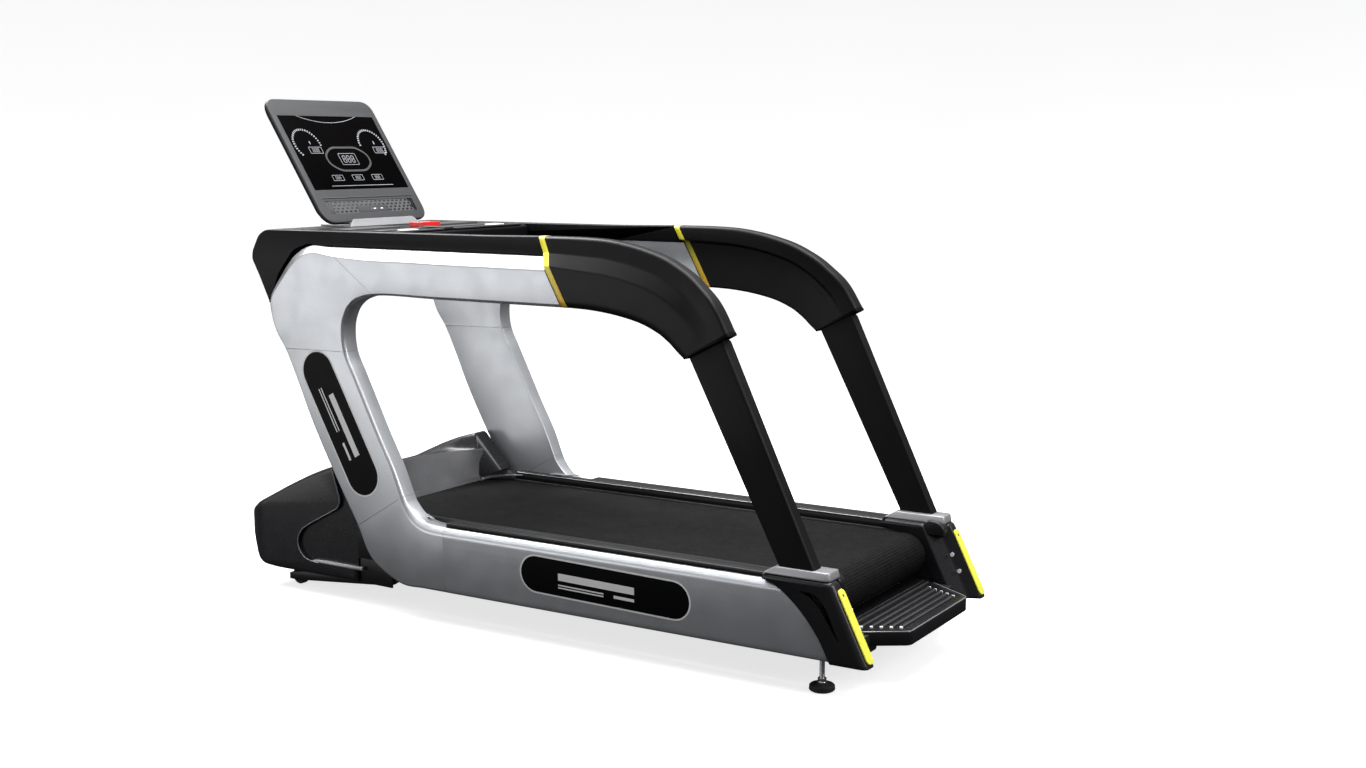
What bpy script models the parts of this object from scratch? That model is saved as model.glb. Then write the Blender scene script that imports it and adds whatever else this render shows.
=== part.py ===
"""Motorised commercial treadmill: flat running deck, swept handrails and a display console.

Metres, +Z up. +X is the runner's right and +Y points forward, to the console.
The floor is Z = 0 and the origin is the middle of the footprint.
"""
import math

import bmesh
import bpy
from mathutils import Matrix, Vector

# Driving dimensions
HALF_LENGTH = 1.200
GAP = 0.0004                    # clearance between pieces that touch
FACE_X = 0.428                  # outer face of the silver side frame
INNER_X = 0.3675                # inner face of the silver side frame
CAP_X = 0.429                   # outer face of the black end caps
COVER_WALL = 0.003
RAIL_INNER_X = 0.337
RAIL_OUTER_X = 0.365
RAIL_BOTTOM = 0.150
RAIL_TOP = 0.2955
PANEL_BOTTOM = 0.105
PANEL_TOP = 0.290
PANEL_SHOULDER = 0.310
PANEL_FRONT_Y = 0.248
FOOT_RAIL_TOP = 0.324
FOOT_RAIL_REAR_Y = -0.985

BELT_HALF_WIDTH = 0.325
BELT_RADIUS = 0.065
BELT_THICKNESS = 0.003
ROLLER_HALF = 0.322
ROLLER_Z = 0.227
REAR_ROLLER_Y = -0.949
FRONT_ROLLER_Y = 0.745
ROLLER_RADIUS = BELT_RADIUS - BELT_THICKNESS - 0.0005
AXLE_RADIUS = 0.010

ARM_BOTTOM = 1.007
ARM_TOP = 1.151
ARM_BEVEL_X = 0.036
BAND_TOP = 1.197
BAND_TOP_REAR = 1.2055
BAND_OUTER_X = 0.398
BAND_INNER_X = 0.345

RING_TOP = (-0.108, 1.2055)     # middle plane of the trim ring, as (Y, Z)
RING_BOTTOM = (-0.216, 1.007)
RING_HALF = 0.010

MOTOR_Y = 0.935
MOTOR_Z = 0.165
MOTOR_RADIUS = 0.060
ROLLER_PULLEY_RADIUS = 0.045
MOTOR_PULLEY_RADIUS = 0.025
PULLEY_X = (0.326, 0.338)

LIFT_PIVOT = (0.560, 0.075)     # (Y, Z)
HORN_LENGTH = 0.060
HORN_LEAN = 0.375
WHEEL_Y = 0.990
WHEEL_RADIUS = 0.029
WHEEL_X = (0.2715, 0.2965)
LIFT_BAR_X = (0.300, 0.325)

FOOT_X = 0.349
FOOT_Y = -1.005
FOOT_RADIUS = 0.036

CONSOLE_BASE = (0.853, 1.213)   # lower front edge of the console face, as (Y, Z)
CONSOLE_LEAN = math.radians(33.6)
CONSOLE_HEIGHT = 0.486
CONSOLE_HALF_WIDTH = 0.254
CONSOLE_CORNER = 0.045
BEZEL_DEPTH = 0.012
SCREEN = (0.230, 0.126, 0.419)  # half width, lower edge and upper edge along the face
GRILLE = (0.215, 0.034, 0.083)

HOOD_HALF = 0.3655
HOOD_CORNER = 0.135
HOOD_BOTTOM = 0.067

SIDES = ((-1, "left"), (1, "right"))


# Scene and mesh helpers
def clear_scene():
    for item in list(bpy.data.objects):
        bpy.data.objects.remove(item, do_unlink=True)


def material(name, colour, roughness, metallic=0.0):
    found = bpy.data.materials.get(name)
    if found:
        return found
    made = bpy.data.materials.new(name)
    made.use_nodes = True
    shader = made.node_tree.nodes["Principled BSDF"]
    shader.inputs["Base Color"].default_value = (*colour, 1.0)
    shader.inputs["Roughness"].default_value = roughness
    shader.inputs["Metallic"].default_value = metallic
    made.diffuse_color = (*colour, 1.0)
    return made


def silver():
    return material("silver_paint", (0.46, 0.48, 0.50), 0.32, 0.7)


def black_plastic():
    return material("black_plastic", (0.020, 0.020, 0.021), 0.42)


def charcoal():
    return material("charcoal_plastic", (0.045, 0.045, 0.047), 0.60)


def yellow():
    return material("yellow_plastic", (0.80, 0.78, 0.04), 0.45)


def steel():
    return material("powder_coated_steel", (0.05, 0.05, 0.055), 0.5, 0.3)


def bare_metal():
    return material("bright_steel", (0.55, 0.56, 0.57), 0.25, 1.0)


def rubber():
    return material("black_rubber", (0.015, 0.015, 0.015), 0.8)


def add(name, mesh, surface, smooth_angle=30.0):
    """Turn a bmesh into a named object with its faces pointing outwards."""
    bmesh.ops.recalc_face_normals(mesh, faces=mesh.faces)
    data = bpy.data.meshes.new(name)
    mesh.to_mesh(data)
    mesh.free()
    data.shade_smooth()
    data.set_sharp_from_angle(angle=math.radians(smooth_angle))
    data.materials.append(surface)
    made = bpy.data.objects.new(name, data)
    bpy.context.scene.collection.objects.link(made)
    return made


def skin(loops, closed_ends=True, inner=None):
    """Bridge equal loops of points; with inner loops it becomes a tube wall with open ends."""
    mesh = bmesh.new()
    outer = [[mesh.verts.new(p) for p in loop] for loop in loops]
    bridge(mesh, outer)
    if inner:
        bore = [[mesh.verts.new(p) for p in loop] for loop in inner]
        bridge(mesh, bore)
        bridge(mesh, [outer[0], bore[0]])
        bridge(mesh, [outer[-1], bore[-1]])
    elif closed_ends:
        mesh.faces.new(outer[0])
        mesh.faces.new(outer[-1])
    return mesh


def bridge(mesh, loops):
    for first, second in zip(loops, loops[1:]):
        count = len(first)
        for i in range(count):
            j = (i + 1) % count
            mesh.faces.new((first[i], first[j], second[j], second[i]))


def place(axis, along, point):
    """Put a 2D outline point at a station along an axis: X takes (Y, Z), Y takes (X, Z), Z takes (X, Y)."""
    a, b = point
    return {"X": (along, a, b), "Y": (a, along, b), "Z": (a, b, along)}[axis]


def extrude(name, outline, start, end, surface, axis="X", inner=None):
    loops = [[place(axis, along, p) for p in outline] for along in (start, end)]
    bores = [[place(axis, along, p) for p in inner] for along in (start, end)] if inner else None
    return add(name, skin(loops, inner=bores), surface)


def box(name, low, high, surface):
    outline = [(low[0], low[1]), (high[0], low[1]), (high[0], high[1]), (low[0], high[1])]
    return extrude(name, outline, low[2], high[2], surface, "Z")


def ring_points(centre, radius, count, start=0.0):
    step = 2 * math.pi / count
    return [(centre[0] + radius * math.cos(start + i * step),
             centre[1] + radius * math.sin(start + i * step)) for i in range(count)]


def arc(centre, radius, start, end, count):
    """Points of an arc from one angle to another, in degrees."""
    turn = [math.radians(start + (end - start) * i / count) for i in range(count + 1)]
    return [(centre[0] + radius * math.cos(a), centre[1] + radius * math.sin(a)) for a in turn]


def curve(first, control, last, count):
    """Points of a quadratic curve from first to last, pulled towards control."""
    points = []
    for i in range(count + 1):
        t = i / count
        weights = ((1 - t) ** 2, 2 * t * (1 - t), t * t)
        points.append(tuple(sum(w * p[k] for w, p in zip(weights, (first, control, last))) for k in (0, 1)))
    return points


def rounded_rectangle(low, high, radius, count=4):
    left, bottom = low[0] + radius, low[1] + radius
    right, top = high[0] - radius, high[1] - radius
    corners = ((right, bottom, -90), (right, top, 0), (left, top, 90), (left, bottom, 180))
    return [p for x, y, a in corners for p in arc((x, y), radius, a, a + 90, count)]


def turned(name, centre, profile, surface, axis="X", count=24):
    """Solid of revolution: profile is (distance along the axis, radius) pairs; centre is 2D."""
    loops = [[place(axis, along, p) for p in ring_points(centre, radius, count)] for along, radius in profile]
    return add(name, skin(loops), surface)


def belt_loop(first, first_radius, second, second_radius, count=10):
    """Outline of a belt around two round pulleys, as a convex loop of (Y, Z) points."""
    gap = Vector(second) - Vector(first)
    heading = math.atan2(gap.y, gap.x)
    tilt = math.acos((first_radius - second_radius) / gap.length)
    heading_deg, tilt_deg = math.degrees(heading), math.degrees(tilt)
    rear = arc(first, first_radius, heading_deg + tilt_deg, heading_deg - tilt_deg + 360, count)
    front = arc(second, second_radius, heading_deg - tilt_deg, heading_deg + tilt_deg, count)
    return rear + front


def cutter(target, tool, operation="DIFFERENCE"):
    """Use an object as a Boolean tool and leave it out of the model."""
    tool.hide_render = True
    tool.display_type = "WIRE"
    tool.parent = None
    step = target.modifiers.new(operation.lower(), "BOOLEAN")
    step.operation = operation
    step.object = tool
    step.solver = "EXACT"
    return target


def cut_box(target, low, high):
    return cutter(target, box(target.name + "_tool", low, high, charcoal()))


def join_box(target, low, high):
    return cutter(target, box(target.name + "_tool", low, high, charcoal()), "UNION")


def mirrored(side, near, far):
    return sorted((side * near, side * far))


# Hollow covers that follow the side frame
def cover_section(station, side, wall):
    """Closed loop of 3D points across the side frame, from its window edge to its outer edge.

    station = (outer edge, window edge, bevel along the section, bevel in X), edges as (Y, Z).
    """
    edge, window, bevel_u, bevel_x = station
    start, direction = Vector(window), (Vector(edge) - Vector(window))
    width = direction.length
    direction.normalize()
    low, high, near, far = wall, width - wall, INNER_X + wall, FACE_X - wall
    shrink = wall * 0.6
    across = [(low, near), (low, far), (high - bevel_u + shrink, far), (high, far - bevel_x + shrink), (high, near)]
    loop = []
    for u, x in across:
        point = start + direction * u
        loop.append((side * x, point.x, point.y))
    return loop


def cover(name, side, stations, surface):
    outer = [cover_section(s, side, 0.0) for s in stations]
    inner = [cover_section(s, side, COVER_WALL) for s in stations]
    return add(name, skin(outer, inner=inner), surface)


def lower_corner_cover(side, word):
    stations = [
        ((0.2485, PANEL_BOTTOM), (0.2485, 0.294), 0.006, 0.006),
        ((0.340, PANEL_BOTTOM), (0.306, 0.301), 0.006, 0.006),
        ((0.425, PANEL_BOTTOM), (0.345, 0.317), 0.006, 0.006),
        ((0.498, 0.138), (0.373, 0.340), 0.006, 0.006),
        ((0.543, 0.171), (0.392, 0.363), 0.006, 0.006),
        ((0.5965, 0.2735), (0.4065, 0.3885), 0.006, 0.006),
    ]
    return cover("lower_corner_cover_" + word, side, stations, silver())


def upright_cover(side, word):
    stations = [
        ((0.5975, 0.2745), (0.4075, 0.3895), 0.006, 0.006),
        ((0.645, 0.353), (0.440, 0.466), 0.006, 0.006),
        ((0.710, 0.465), (0.497, 0.571), 0.006, 0.006),
        ((0.790, 0.615), (0.558, 0.690), 0.006, 0.006),
        ((0.838, 0.722), (0.593, 0.758), 0.006, 0.006),
        ((0.8875, 0.8215), (0.6255, 0.8255), 0.006, 0.006),
    ]
    return cover("upright_cover_" + word, side, stations, silver())


def upper_corner_cover(side, word):
    stations = [
        ((0.888, 0.8225), (0.626, 0.8265), 0.006, 0.006),
        ((0.925, 0.877), (0.633, 0.875), 0.006, 0.006),
        ((0.945, 0.930), (0.629, 0.918), 0.008, 0.008),
        ((0.957, 0.975), (0.616, 0.950), 0.018, 0.016),
        ((0.920, 1.050), (0.594, 0.976), 0.034, 0.030),
        ((0.855, 1.125), (0.565, 0.993), 0.040, ARM_BEVEL_X),
        ((0.800, ARM_TOP), (0.535, 1.002), 0.042, ARM_BEVEL_X),
        ((0.7065, ARM_TOP), (0.5005, ARM_BOTTOM), 0.052, ARM_BEVEL_X),
    ]
    return cover("upper_corner_cover_" + word, side, stations, silver())


def ring_plane(z, offset=0.0):
    """Y of the slanted trim ring plane at a height, moved forward by offset."""
    slope = (RING_TOP[0] - RING_BOTTOM[0]) / (RING_TOP[1] - RING_BOTTOM[1])
    return RING_BOTTOM[0] + (z - RING_BOTTOM[1]) * slope + offset


def arm_cover(side, word):
    rear = RING_HALF + GAP
    stations = [
        ((0.7055, ARM_TOP), (0.4995, ARM_BOTTOM), 0.052, ARM_BEVEL_X),
        ((0.350, ARM_TOP), (0.250, ARM_BOTTOM), 0.046, ARM_BEVEL_X),
        ((ring_plane(ARM_TOP, rear), ARM_TOP), (ring_plane(ARM_BOTTOM, rear), ARM_BOTTOM), 0.046, ARM_BEVEL_X),
    ]
    return cover("arm_cover_" + word, side, stations, silver())


def side_panel(side, word):
    section = [(FACE_X, PANEL_BOTTOM), (FACE_X, PANEL_TOP), (0.410, PANEL_SHOULDER), (0.380, PANEL_SHOULDER),
               (0.380, 0.306), (0.4085, 0.306), (0.424, 0.2885), (0.424, 0.109), (0.400, 0.109),
               (0.400, PANEL_BOTTOM)]
    outline = [(side * x, z) for x, z in section]
    panel = extrude("side_panel_" + word, outline, -1.100, PANEL_FRONT_Y - GAP, silver(), "Y")
    rear = [(y, z) for y, z in cap_front_edge()]
    tool = rear + [(-1.20, rear[-1][1]), (-1.20, rear[0][1])]
    low, high = mirrored(side, 0.36, 0.45)
    return cutter(panel, extrude(panel.name + "_tool", tool, low, high, charcoal()))


def cap_front_edge(offset=0.0):
    """Convex edge where a black end cap meets the silver side panel, from top to bottom."""
    points = curve((-0.857, 0.3105), (-0.968, 0.288), (-1.071, 0.100), 8)
    return [(y - offset, z) for y, z in points]


# Black and yellow mouldings
def handrail_cap(side, word):
    rear_low = (ring_plane(ARM_TOP + GAP, RING_HALF + GAP), ARM_TOP + GAP)
    rear_top = (ring_plane(BAND_TOP_REAR, RING_HALF + GAP), BAND_TOP_REAR)
    nose = [(0.985, BAND_TOP), (1.000, 1.193), (1.015, 1.168), (1.044, 1.128), (1.050, 1.102), (1.021, 1.048),
            (0.997, 0.994), (0.976, 0.959)]
    behind = [(0.966, 0.979), (0.9285, 1.0555), (0.8615, 1.1325), (0.802, ARM_TOP + GAP)]
    outline = [rear_low, rear_top] + nose + behind
    low, high = mirrored(side, BAND_INNER_X, BAND_OUTER_X)
    band = extrude("handrail_cap_" + word, outline, low, high, black_plastic())
    slant = [(0.392, ARM_TOP - 0.02), (0.4002, ARM_TOP + 0.012), (0.376, 1.215), (0.43, 1.215), (0.43, ARM_TOP - 0.02)]
    tool = [(side * x, z) for x, z in slant]
    return cutter(band, extrude(band.name + "_tool", tool, -0.25, 0.86, charcoal(), "Y"))


def grip_section(top, bottom, blend, side, inset):
    """Section across the grip; blend turns the creased handrail section (0) into a plain rectangle (1)."""
    start, direction = Vector(bottom), Vector(top) - Vector(bottom)
    width = direction.length
    direction.normalize()
    crease = width - 0.052
    shape = [(inset, 0.3685 + inset), (inset, 0.422 - inset), (0.02, FACE_X - inset), (crease - 0.042, FACE_X - inset),
             (crease, 0.400 + 0.026 * blend - inset), (width - 0.008 - inset, 0.390 + 0.034 * blend - inset),
             (width - inset, 0.380 + 0.036 * blend - inset), (width - inset, 0.352 + 0.024 * blend + inset),
             (width - 0.01 - inset, 0.346 + 0.024 * blend + inset), (crease, 0.3455 + 0.0235 * blend + inset),
             (crease - 0.004, 0.3685 + inset)]
    if inset:
        shape = [(max(u, inset), x) for u, x in shape]
    points = []
    for u, x in shape:
        point = start + direction * u
        points.append((side * x, point.x, point.y))
    return points


def grip(side, word):
    rear = -(RING_HALF + GAP)
    stations = [
        ((ring_plane(BAND_TOP_REAR, rear), BAND_TOP_REAR), (ring_plane(ARM_BOTTOM, rear), ARM_BOTTOM), 0.0),
        ((-0.250, 1.2055), (-0.292, 1.0045), 0.0),
        ((-0.400, 1.1945), (-0.380, 0.995), 0.05),
        ((-0.500, 1.1705), (-0.450, 0.981), 0.15),
        ((-0.587, 1.134), (-0.515, 0.957), 0.35),
        ((-0.652, 1.086), (-0.558, 0.930), 0.6),
        ((-0.710, 1.027), (-0.590, 0.902), 0.85),
        ((-0.751, 0.957), (-0.610, 0.886), 1.0),
    ]
    outer = [grip_section(*station, side, 0.0) for station in stations]
    inner = [grip_section(*station, side, 0.004) for station in stations]
    return add("grip_" + word, skin(outer, inner=inner), black_plastic())


def trim_ring(side, word):
    sections = []
    for offset in (RING_HALF, -RING_HALF):
        top = (ring_plane(BAND_TOP_REAR, offset), BAND_TOP_REAR)
        bottom = (ring_plane(ARM_BOTTOM, offset), ARM_BOTTOM)
        sections.append((top, bottom, 0.0))
    outer = [grip_section(*section, side, 0.0) for section in sections]
    inner = [grip_section(*section, side, 0.005) for section in sections]
    return add("trim_ring_" + word, skin(outer, inner=inner), yellow())


def rear_leg(side, word):
    """Flat steel tube from the foot plate, bent forward inside the grip."""
    stations = [
        ((-0.905, 0.3485), (-1.012, 0.3485), 0.3745, 0.4190),
        ((-0.625, 0.888), (-0.733, 0.9385), 0.3745, 0.4190),
        ((-0.600, 0.930), (-0.680, 0.990), 0.3760, 0.3950),
        ((-0.560, 0.975), (-0.610, 1.045), 0.3760, 0.3920),
        ((-0.480, 1.015), (-0.510, 1.100), 0.3760, 0.3900),
        ((-0.380, 1.040), (-0.385, 1.120), 0.3760, 0.3900),
        ((-0.170, 1.055), (-0.170, 1.125), 0.3760, 0.3900),
    ]
    loops = [[(side * x, *p) for x, p in ((near, front), (far, front), (far, rear), (near, rear))]
             for front, rear, near, far in stations]
    return add("rear_leg_" + word, skin(loops), steel())


def mast(side, word):
    """Steel upright inside the silver covers, bent back along the arm."""
    stations = [
        ((0.320, 0.160), (0.320, 0.240)),
        ((0.440, 0.190), (0.400, 0.270)),
        ((0.540, 0.330), (0.480, 0.370)),
        ((0.760, 0.780), (0.690, 0.810)),
        ((0.850, 0.960), (0.760, 0.960)),
        ((0.800, 1.080), (0.700, 1.040)),
        ((0.680, 1.110), (0.620, 1.050)),
        ((0.400, 1.105), (0.400, 1.045)),
        ((-0.165, 1.105), (-0.165, 1.060)),
    ]
    loops = [[(side * x, *p) for x, p in ((0.376, front), (0.412, front), (0.412, rear), (0.376, rear))]
             for front, rear in stations]
    return add("mast_" + word, skin(loops), steel())


def inner_chamfer(name, side):
    """Tool for the slanted flat between an end cap's back and its inner side."""
    plan = [(0.3810, -0.060), (0.3810, 0.002), (0.3675, 0.036), (0.3280, 0.076), (0.3000, 0.076), (0.3000, -0.060)]
    slope = (1.1748 - 1.0655) / (0.3245 - 0.103)
    loops = [[(side * x, -1.1748 + (z - 0.103) * slope + y, z) for x, y in plan] for z in (0.050, 0.400)]
    return add(name + "_chamfer_tool", skin(loops), charcoal())


def end_cap(side, word):
    front = cap_front_edge(0.0008)
    front = [(y, z) for y, z in front if z > 0.104]
    outline = front + [(-1.0695, 0.103), (-1.1748, 0.103), (-1.0655, 0.3245), (-0.8578, 0.3245)]
    low, high = mirrored(side, 0.330, CAP_X)
    cap = extrude("end_cap_" + word, outline, low, high, black_plastic())
    for number, (near, far, shift) in enumerate(((0.3850, 0.4245, 0.0), (0.3340, 0.3860, 0.082))):
        cavity = [(-0.80, 0.1075), (shift - 1.1670, 0.1075), (shift - 1.0640, 0.3160), (-0.80, 0.3160)]
        tool_low, tool_high = mirrored(side, near, far)
        cutter(cap, extrude(f"{cap.name}_cavity_tool_{number}", cavity, tool_low, tool_high, charcoal()))
    cutter(cap, inner_chamfer(cap.name, side))
    low, high = mirrored(side, 0.300, 0.4245)
    cut_box(cap, (low, FOOT_RAIL_REAR_Y - GAP, 0.05), (high, -0.70, 0.40))
    hole = turned(cap.name + "_foot_tool", (side * FOOT_X, FOOT_Y), [(0.09, 0.0115), (0.12, 0.0115)],
                  charcoal(), "Z", 16)
    cutter(cap, hole)
    for height, back in ((0.237, -1.052), (0.189, -1.075)):
        low, high = mirrored(side, 0.344, 0.354)
        cut_box(cap, (low, back - 0.020, height - 0.012), (high, back + 0.014, height + 0.012))
    return cap


def bumper_strip(side, word):
    """Yellow strip with round ends on the slanted back of an end cap."""
    lean = math.atan2(1.1748 - 1.0655, 0.3245 - 0.103)
    length, half = 0.212, 0.0175
    outline = rounded_rectangle((-half, -length / 2), (half, length / 2), half - 0.0005, 6)
    loops = []
    for depth in (0.0, 0.0055):
        loop = []
        for x, along in outline:
            y = -1.1236 + along * math.sin(lean) - depth * math.cos(lean)
            z = 0.2080 + along * math.cos(lean) + depth * math.sin(lean)
            loop.append((side * (0.398 + x), y, z))
        loops.append(loop)
    return add("bumper_strip_" + word, skin(loops), yellow())


def leg_pad(side, word):
    levels = [(FOOT_RAIL_TOP + 0.001, 0.3540, 0.4270, -1.0600, -0.862),
              (0.3480, 0.3700, 0.4235, -1.0520, -0.898)]
    loops = [[(side * x, y, z) for x, y in ((near, rear), (far, rear), (far, front), (near, front))]
             for z, near, far, rear, front in levels]
    return add("leg_pad_" + word, skin(loops), silver())


def foot_rail(side, word):
    section = [(0.3460, 0.2965), (0.3460, 0.3070), (0.3520, FOOT_RAIL_TOP - 0.001), (0.4080, FOOT_RAIL_TOP),
               (0.4120, 0.3200), (0.4120, 0.3110), (0.3662, 0.3110), (0.3662, 0.2965)]
    outline = [(side * x, z) for x, z in section]
    rail = extrude("foot_rail_" + word, outline, FOOT_RAIL_REAR_Y, 0.5600, charcoal(), "Y")
    low, high = mirrored(side, INNER_X - GAP, 0.44)
    return cut_box(rail, (low, PANEL_FRONT_Y - 0.002, 0.20), (high, 0.70, 0.40))


# Running gear
def frame_rail(side, word):
    near, far = RAIL_INNER_X, RAIL_OUTER_X
    outline = [(side * x, z) for x, z in ((near, RAIL_BOTTOM), (far, RAIL_BOTTOM), (far, RAIL_TOP), (near, RAIL_TOP))]
    wall = 0.003
    bore = [(side * x, z) for x, z in ((near + wall, RAIL_BOTTOM + wall), (far - wall, RAIL_BOTTOM + wall),
                                       (far - wall, RAIL_TOP - wall), (near + wall, RAIL_TOP - wall))]
    rail = extrude("frame_rail_" + word, outline, -1.070, 0.655, steel(), "Y", bore)
    slant = [(-1.100, 0.140), (-1.063, 0.140), (-0.981, 0.306), (-1.100, 0.306)]
    low, high = mirrored(side, 0.330, 0.372)
    return cutter(rail, extrude(rail.name + "_tool", slant, low, high, charcoal()))


def rear_crossmember():
    """Square tube between the two frame rails, under the belt."""
    y, half_width = -0.900, 0.3362
    outline = [(y - 0.020, 0.110), (y + 0.020, 0.110), (y + 0.020, 0.1490), (y - 0.020, 0.1490)]
    bore = [(y - 0.017, 0.113), (y + 0.017, 0.113), (y + 0.017, 0.1460), (y - 0.017, 0.1460)]
    return extrude("rear_crossmember", outline, -half_width, half_width, steel(), "X", bore)


def deck_board():
    return box("deck_board", (-0.318, -0.870, 0.2640), (0.318, 0.665, 0.2882),
               material("deck_laminate", (0.16, 0.12, 0.08), 0.6))


def running_belt():
    rear, front = (REAR_ROLLER_Y, ROLLER_Z), (FRONT_ROLLER_Y, ROLLER_Z)
    outer = belt_loop(rear, BELT_RADIUS, front, BELT_RADIUS, 14)
    inner = belt_loop(rear, BELT_RADIUS - BELT_THICKNESS, front, BELT_RADIUS - BELT_THICKNESS, 14)
    return extrude("running_belt", outer, -BELT_HALF_WIDTH, BELT_HALF_WIDTH, rubber(), "X", inner)


def rear_roller():
    profile = [(-0.3362, AXLE_RADIUS), (-ROLLER_HALF, AXLE_RADIUS), (-ROLLER_HALF, ROLLER_RADIUS),
               (ROLLER_HALF, ROLLER_RADIUS), (ROLLER_HALF, AXLE_RADIUS), (0.3362, AXLE_RADIUS)]
    return turned("rear_roller", (REAR_ROLLER_Y, ROLLER_Z), profile, bare_metal(), count=28)


def front_roller():
    profile = [(-0.3402, AXLE_RADIUS), (-ROLLER_HALF, AXLE_RADIUS), (-ROLLER_HALF, ROLLER_RADIUS),
               (ROLLER_HALF, ROLLER_RADIUS), (ROLLER_HALF, ROLLER_PULLEY_RADIUS),
               (PULLEY_X[1], ROLLER_PULLEY_RADIUS), (PULLEY_X[1], AXLE_RADIUS), (0.3402, AXLE_RADIUS)]
    return turned("front_roller", (FRONT_ROLLER_Y, ROLLER_Z), profile, bare_metal(), count=28)


def front_frame():
    """Steel cradle in front of the rails: two side plates joined by a cross plate under the motor."""
    plate = [(0.530, 0.062), (1.020, 0.069), (1.020, 0.120), (0.860, 0.240), (0.657, 0.266), (0.657, 0.148),
             (0.530, 0.148)]
    frame = extrude("front_frame", plate, 0.3410, 0.3470, steel())
    other = extrude("front_frame_left_tool", plate, -0.3470, -0.3410, steel())
    cutter(frame, other, "UNION")
    join_box(frame, (-0.3440, 0.875, 0.078), (0.3440, 0.995, 0.084))
    join_box(frame, (-0.3440, 0.9895, 0.078), (0.3440, 0.995, 0.110))
    return frame


def drive_motor():
    body = turned("drive_motor", (MOTOR_Y, MOTOR_Z),
                  [(0.030, 0.045), (0.040, MOTOR_RADIUS), (0.270, MOTOR_RADIUS), (0.283, 0.040)],
                  material("motor_paint", (0.03, 0.03, 0.032), 0.5, 0.2), count=28)
    join_box(body, (0.060, MOTOR_Y - 0.045, 0.0845), (0.250, MOTOR_Y + 0.045, MOTOR_Z - 0.030))
    return body


def motor_flywheel():
    profile = [(0.2840, 0.012), (0.2900, 0.012), (0.2900, 0.072), (0.3180, 0.072), (0.3180, 0.020),
               (PULLEY_X[0], 0.020), (PULLEY_X[0], MOTOR_PULLEY_RADIUS), (PULLEY_X[1], MOTOR_PULLEY_RADIUS)]
    return turned("motor_flywheel", (MOTOR_Y, MOTOR_Z), profile, bare_metal(), count=28)


def drive_belt():
    roller, motor = (FRONT_ROLLER_Y, ROLLER_Z), (MOTOR_Y, MOTOR_Z)
    inner = belt_loop(roller, ROLLER_PULLEY_RADIUS + 0.0012, motor, MOTOR_PULLEY_RADIUS + 0.0012, 16)
    outer = belt_loop(roller, ROLLER_PULLEY_RADIUS + 0.004, motor, MOTOR_PULLEY_RADIUS + 0.004, 16)
    return extrude("drive_belt", outer, PULLEY_X[0] + 0.001, PULLEY_X[1] - 0.001, rubber(), "X", inner)


def motor_controller():
    body = box("motor_controller", (-0.300, 0.870, 0.0845), (-0.080, 0.985, 0.190), bare_metal())
    for i in range(4):
        x = -0.280 + i * 0.050
        cut_box(body, (x, 0.860, 0.150), (x + 0.025, 0.990, 0.200))
    return body


def power_inlet():
    return box("power_inlet", (-0.200, 1.0200, 0.0860), (-0.150, 1.0500, 0.1160), black_plastic())


# Hood over the motor
HOOD_PROFILE = [(0.575, 0.330), (0.700, 0.455), (0.779, 0.432), (0.861, 0.400), (0.962, 0.353), (1.040, 0.313),
                (1.090, 0.288), (1.143, 0.256), (1.180, 0.234), (HALF_LENGTH, 0.211), (1.184, 0.184), (1.157, 0.158),
                (1.136, 0.124), (1.115, 0.090), (1.083, 0.071), (1.030, HOOD_BOTTOM), (0.665, HOOD_BOTTOM),
                (0.665, 0.330)]


def motor_hood():
    """Moulded hood with two wings that rise beside the uprights and a low middle behind them."""
    hood = extrude("motor_hood", HOOD_PROFILE, -HOOD_HALF, HOOD_HALF, black_plastic())
    corner = HALF_LENGTH - HOOD_CORNER
    plan = [(-HOOD_HALF, 0.50), (HOOD_HALF, 0.50)]
    plan += arc((HOOD_HALF - HOOD_CORNER, corner), HOOD_CORNER, 0, 90, 6)
    plan += arc((-HOOD_HALF + HOOD_CORNER, corner), HOOD_CORNER, 90, 180, 6)
    cutter(hood, extrude("hood_plan_tool", plan, 0.0, 0.6, charcoal(), "Z"), "INTERSECT")
    middle = [(0.50, 0.290), (0.664, 0.290), (0.754, 0.3975), (0.966, 0.3520), (0.99, 0.60), (0.50, 0.60)]
    cutter(hood, extrude("hood_valley_tool", middle, -0.285, 0.285, charcoal()))
    cavity = [(0.60, 0.040), (0.60, 0.280), (0.669, 0.280), (0.758, 0.388), (0.960, 0.342), (1.036, 0.305),
              (1.086, 0.280), (1.138, 0.249), (1.174, 0.228), (1.191, 0.210), (1.177, 0.188), (1.150, 0.160),
              (1.129, 0.127), (1.109, 0.096), (1.080, 0.078), (1.060, 0.040)]
    inside = extrude("hood_cavity_tool", cavity, -0.3500, 0.3500, charcoal())
    corner_inside = [(-0.3500, 0.50), (0.3500, 0.50)]
    corner_inside += arc((HOOD_HALF - HOOD_CORNER, corner), HOOD_CORNER - 0.006, 0, 90, 6)
    corner_inside += arc((-HOOD_HALF + HOOD_CORNER, corner), HOOD_CORNER - 0.006, 90, 180, 6)
    cutter(inside, extrude("hood_inner_plan_tool", corner_inside, 0.0, 0.6, charcoal(), "Z"), "INTERSECT")
    cutter(hood, inside)
    low_rear = [(0.50, 0.03), (0.690, 0.03), (0.690, 0.2935), (0.50, 0.2935)]
    cutter(hood, extrude("hood_rear_tool", low_rear, -0.3305, 0.3305, charcoal()))
    for side, word in SIDES:
        opening = [(0.640, 0.112), (0.835, 0.112), (0.880, 0.117), (0.908, 0.140), (0.918, 0.173), (0.897, 0.213),
                   (0.828, 0.254), (0.745, 0.290), (0.718, 0.325), (0.640, 0.325)]
        low, high = mirrored(side, 0.3535, 0.3800)
        cutter(hood, extrude("hood_side_tool_" + word, opening, low, high, charcoal()))
    return hood


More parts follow.
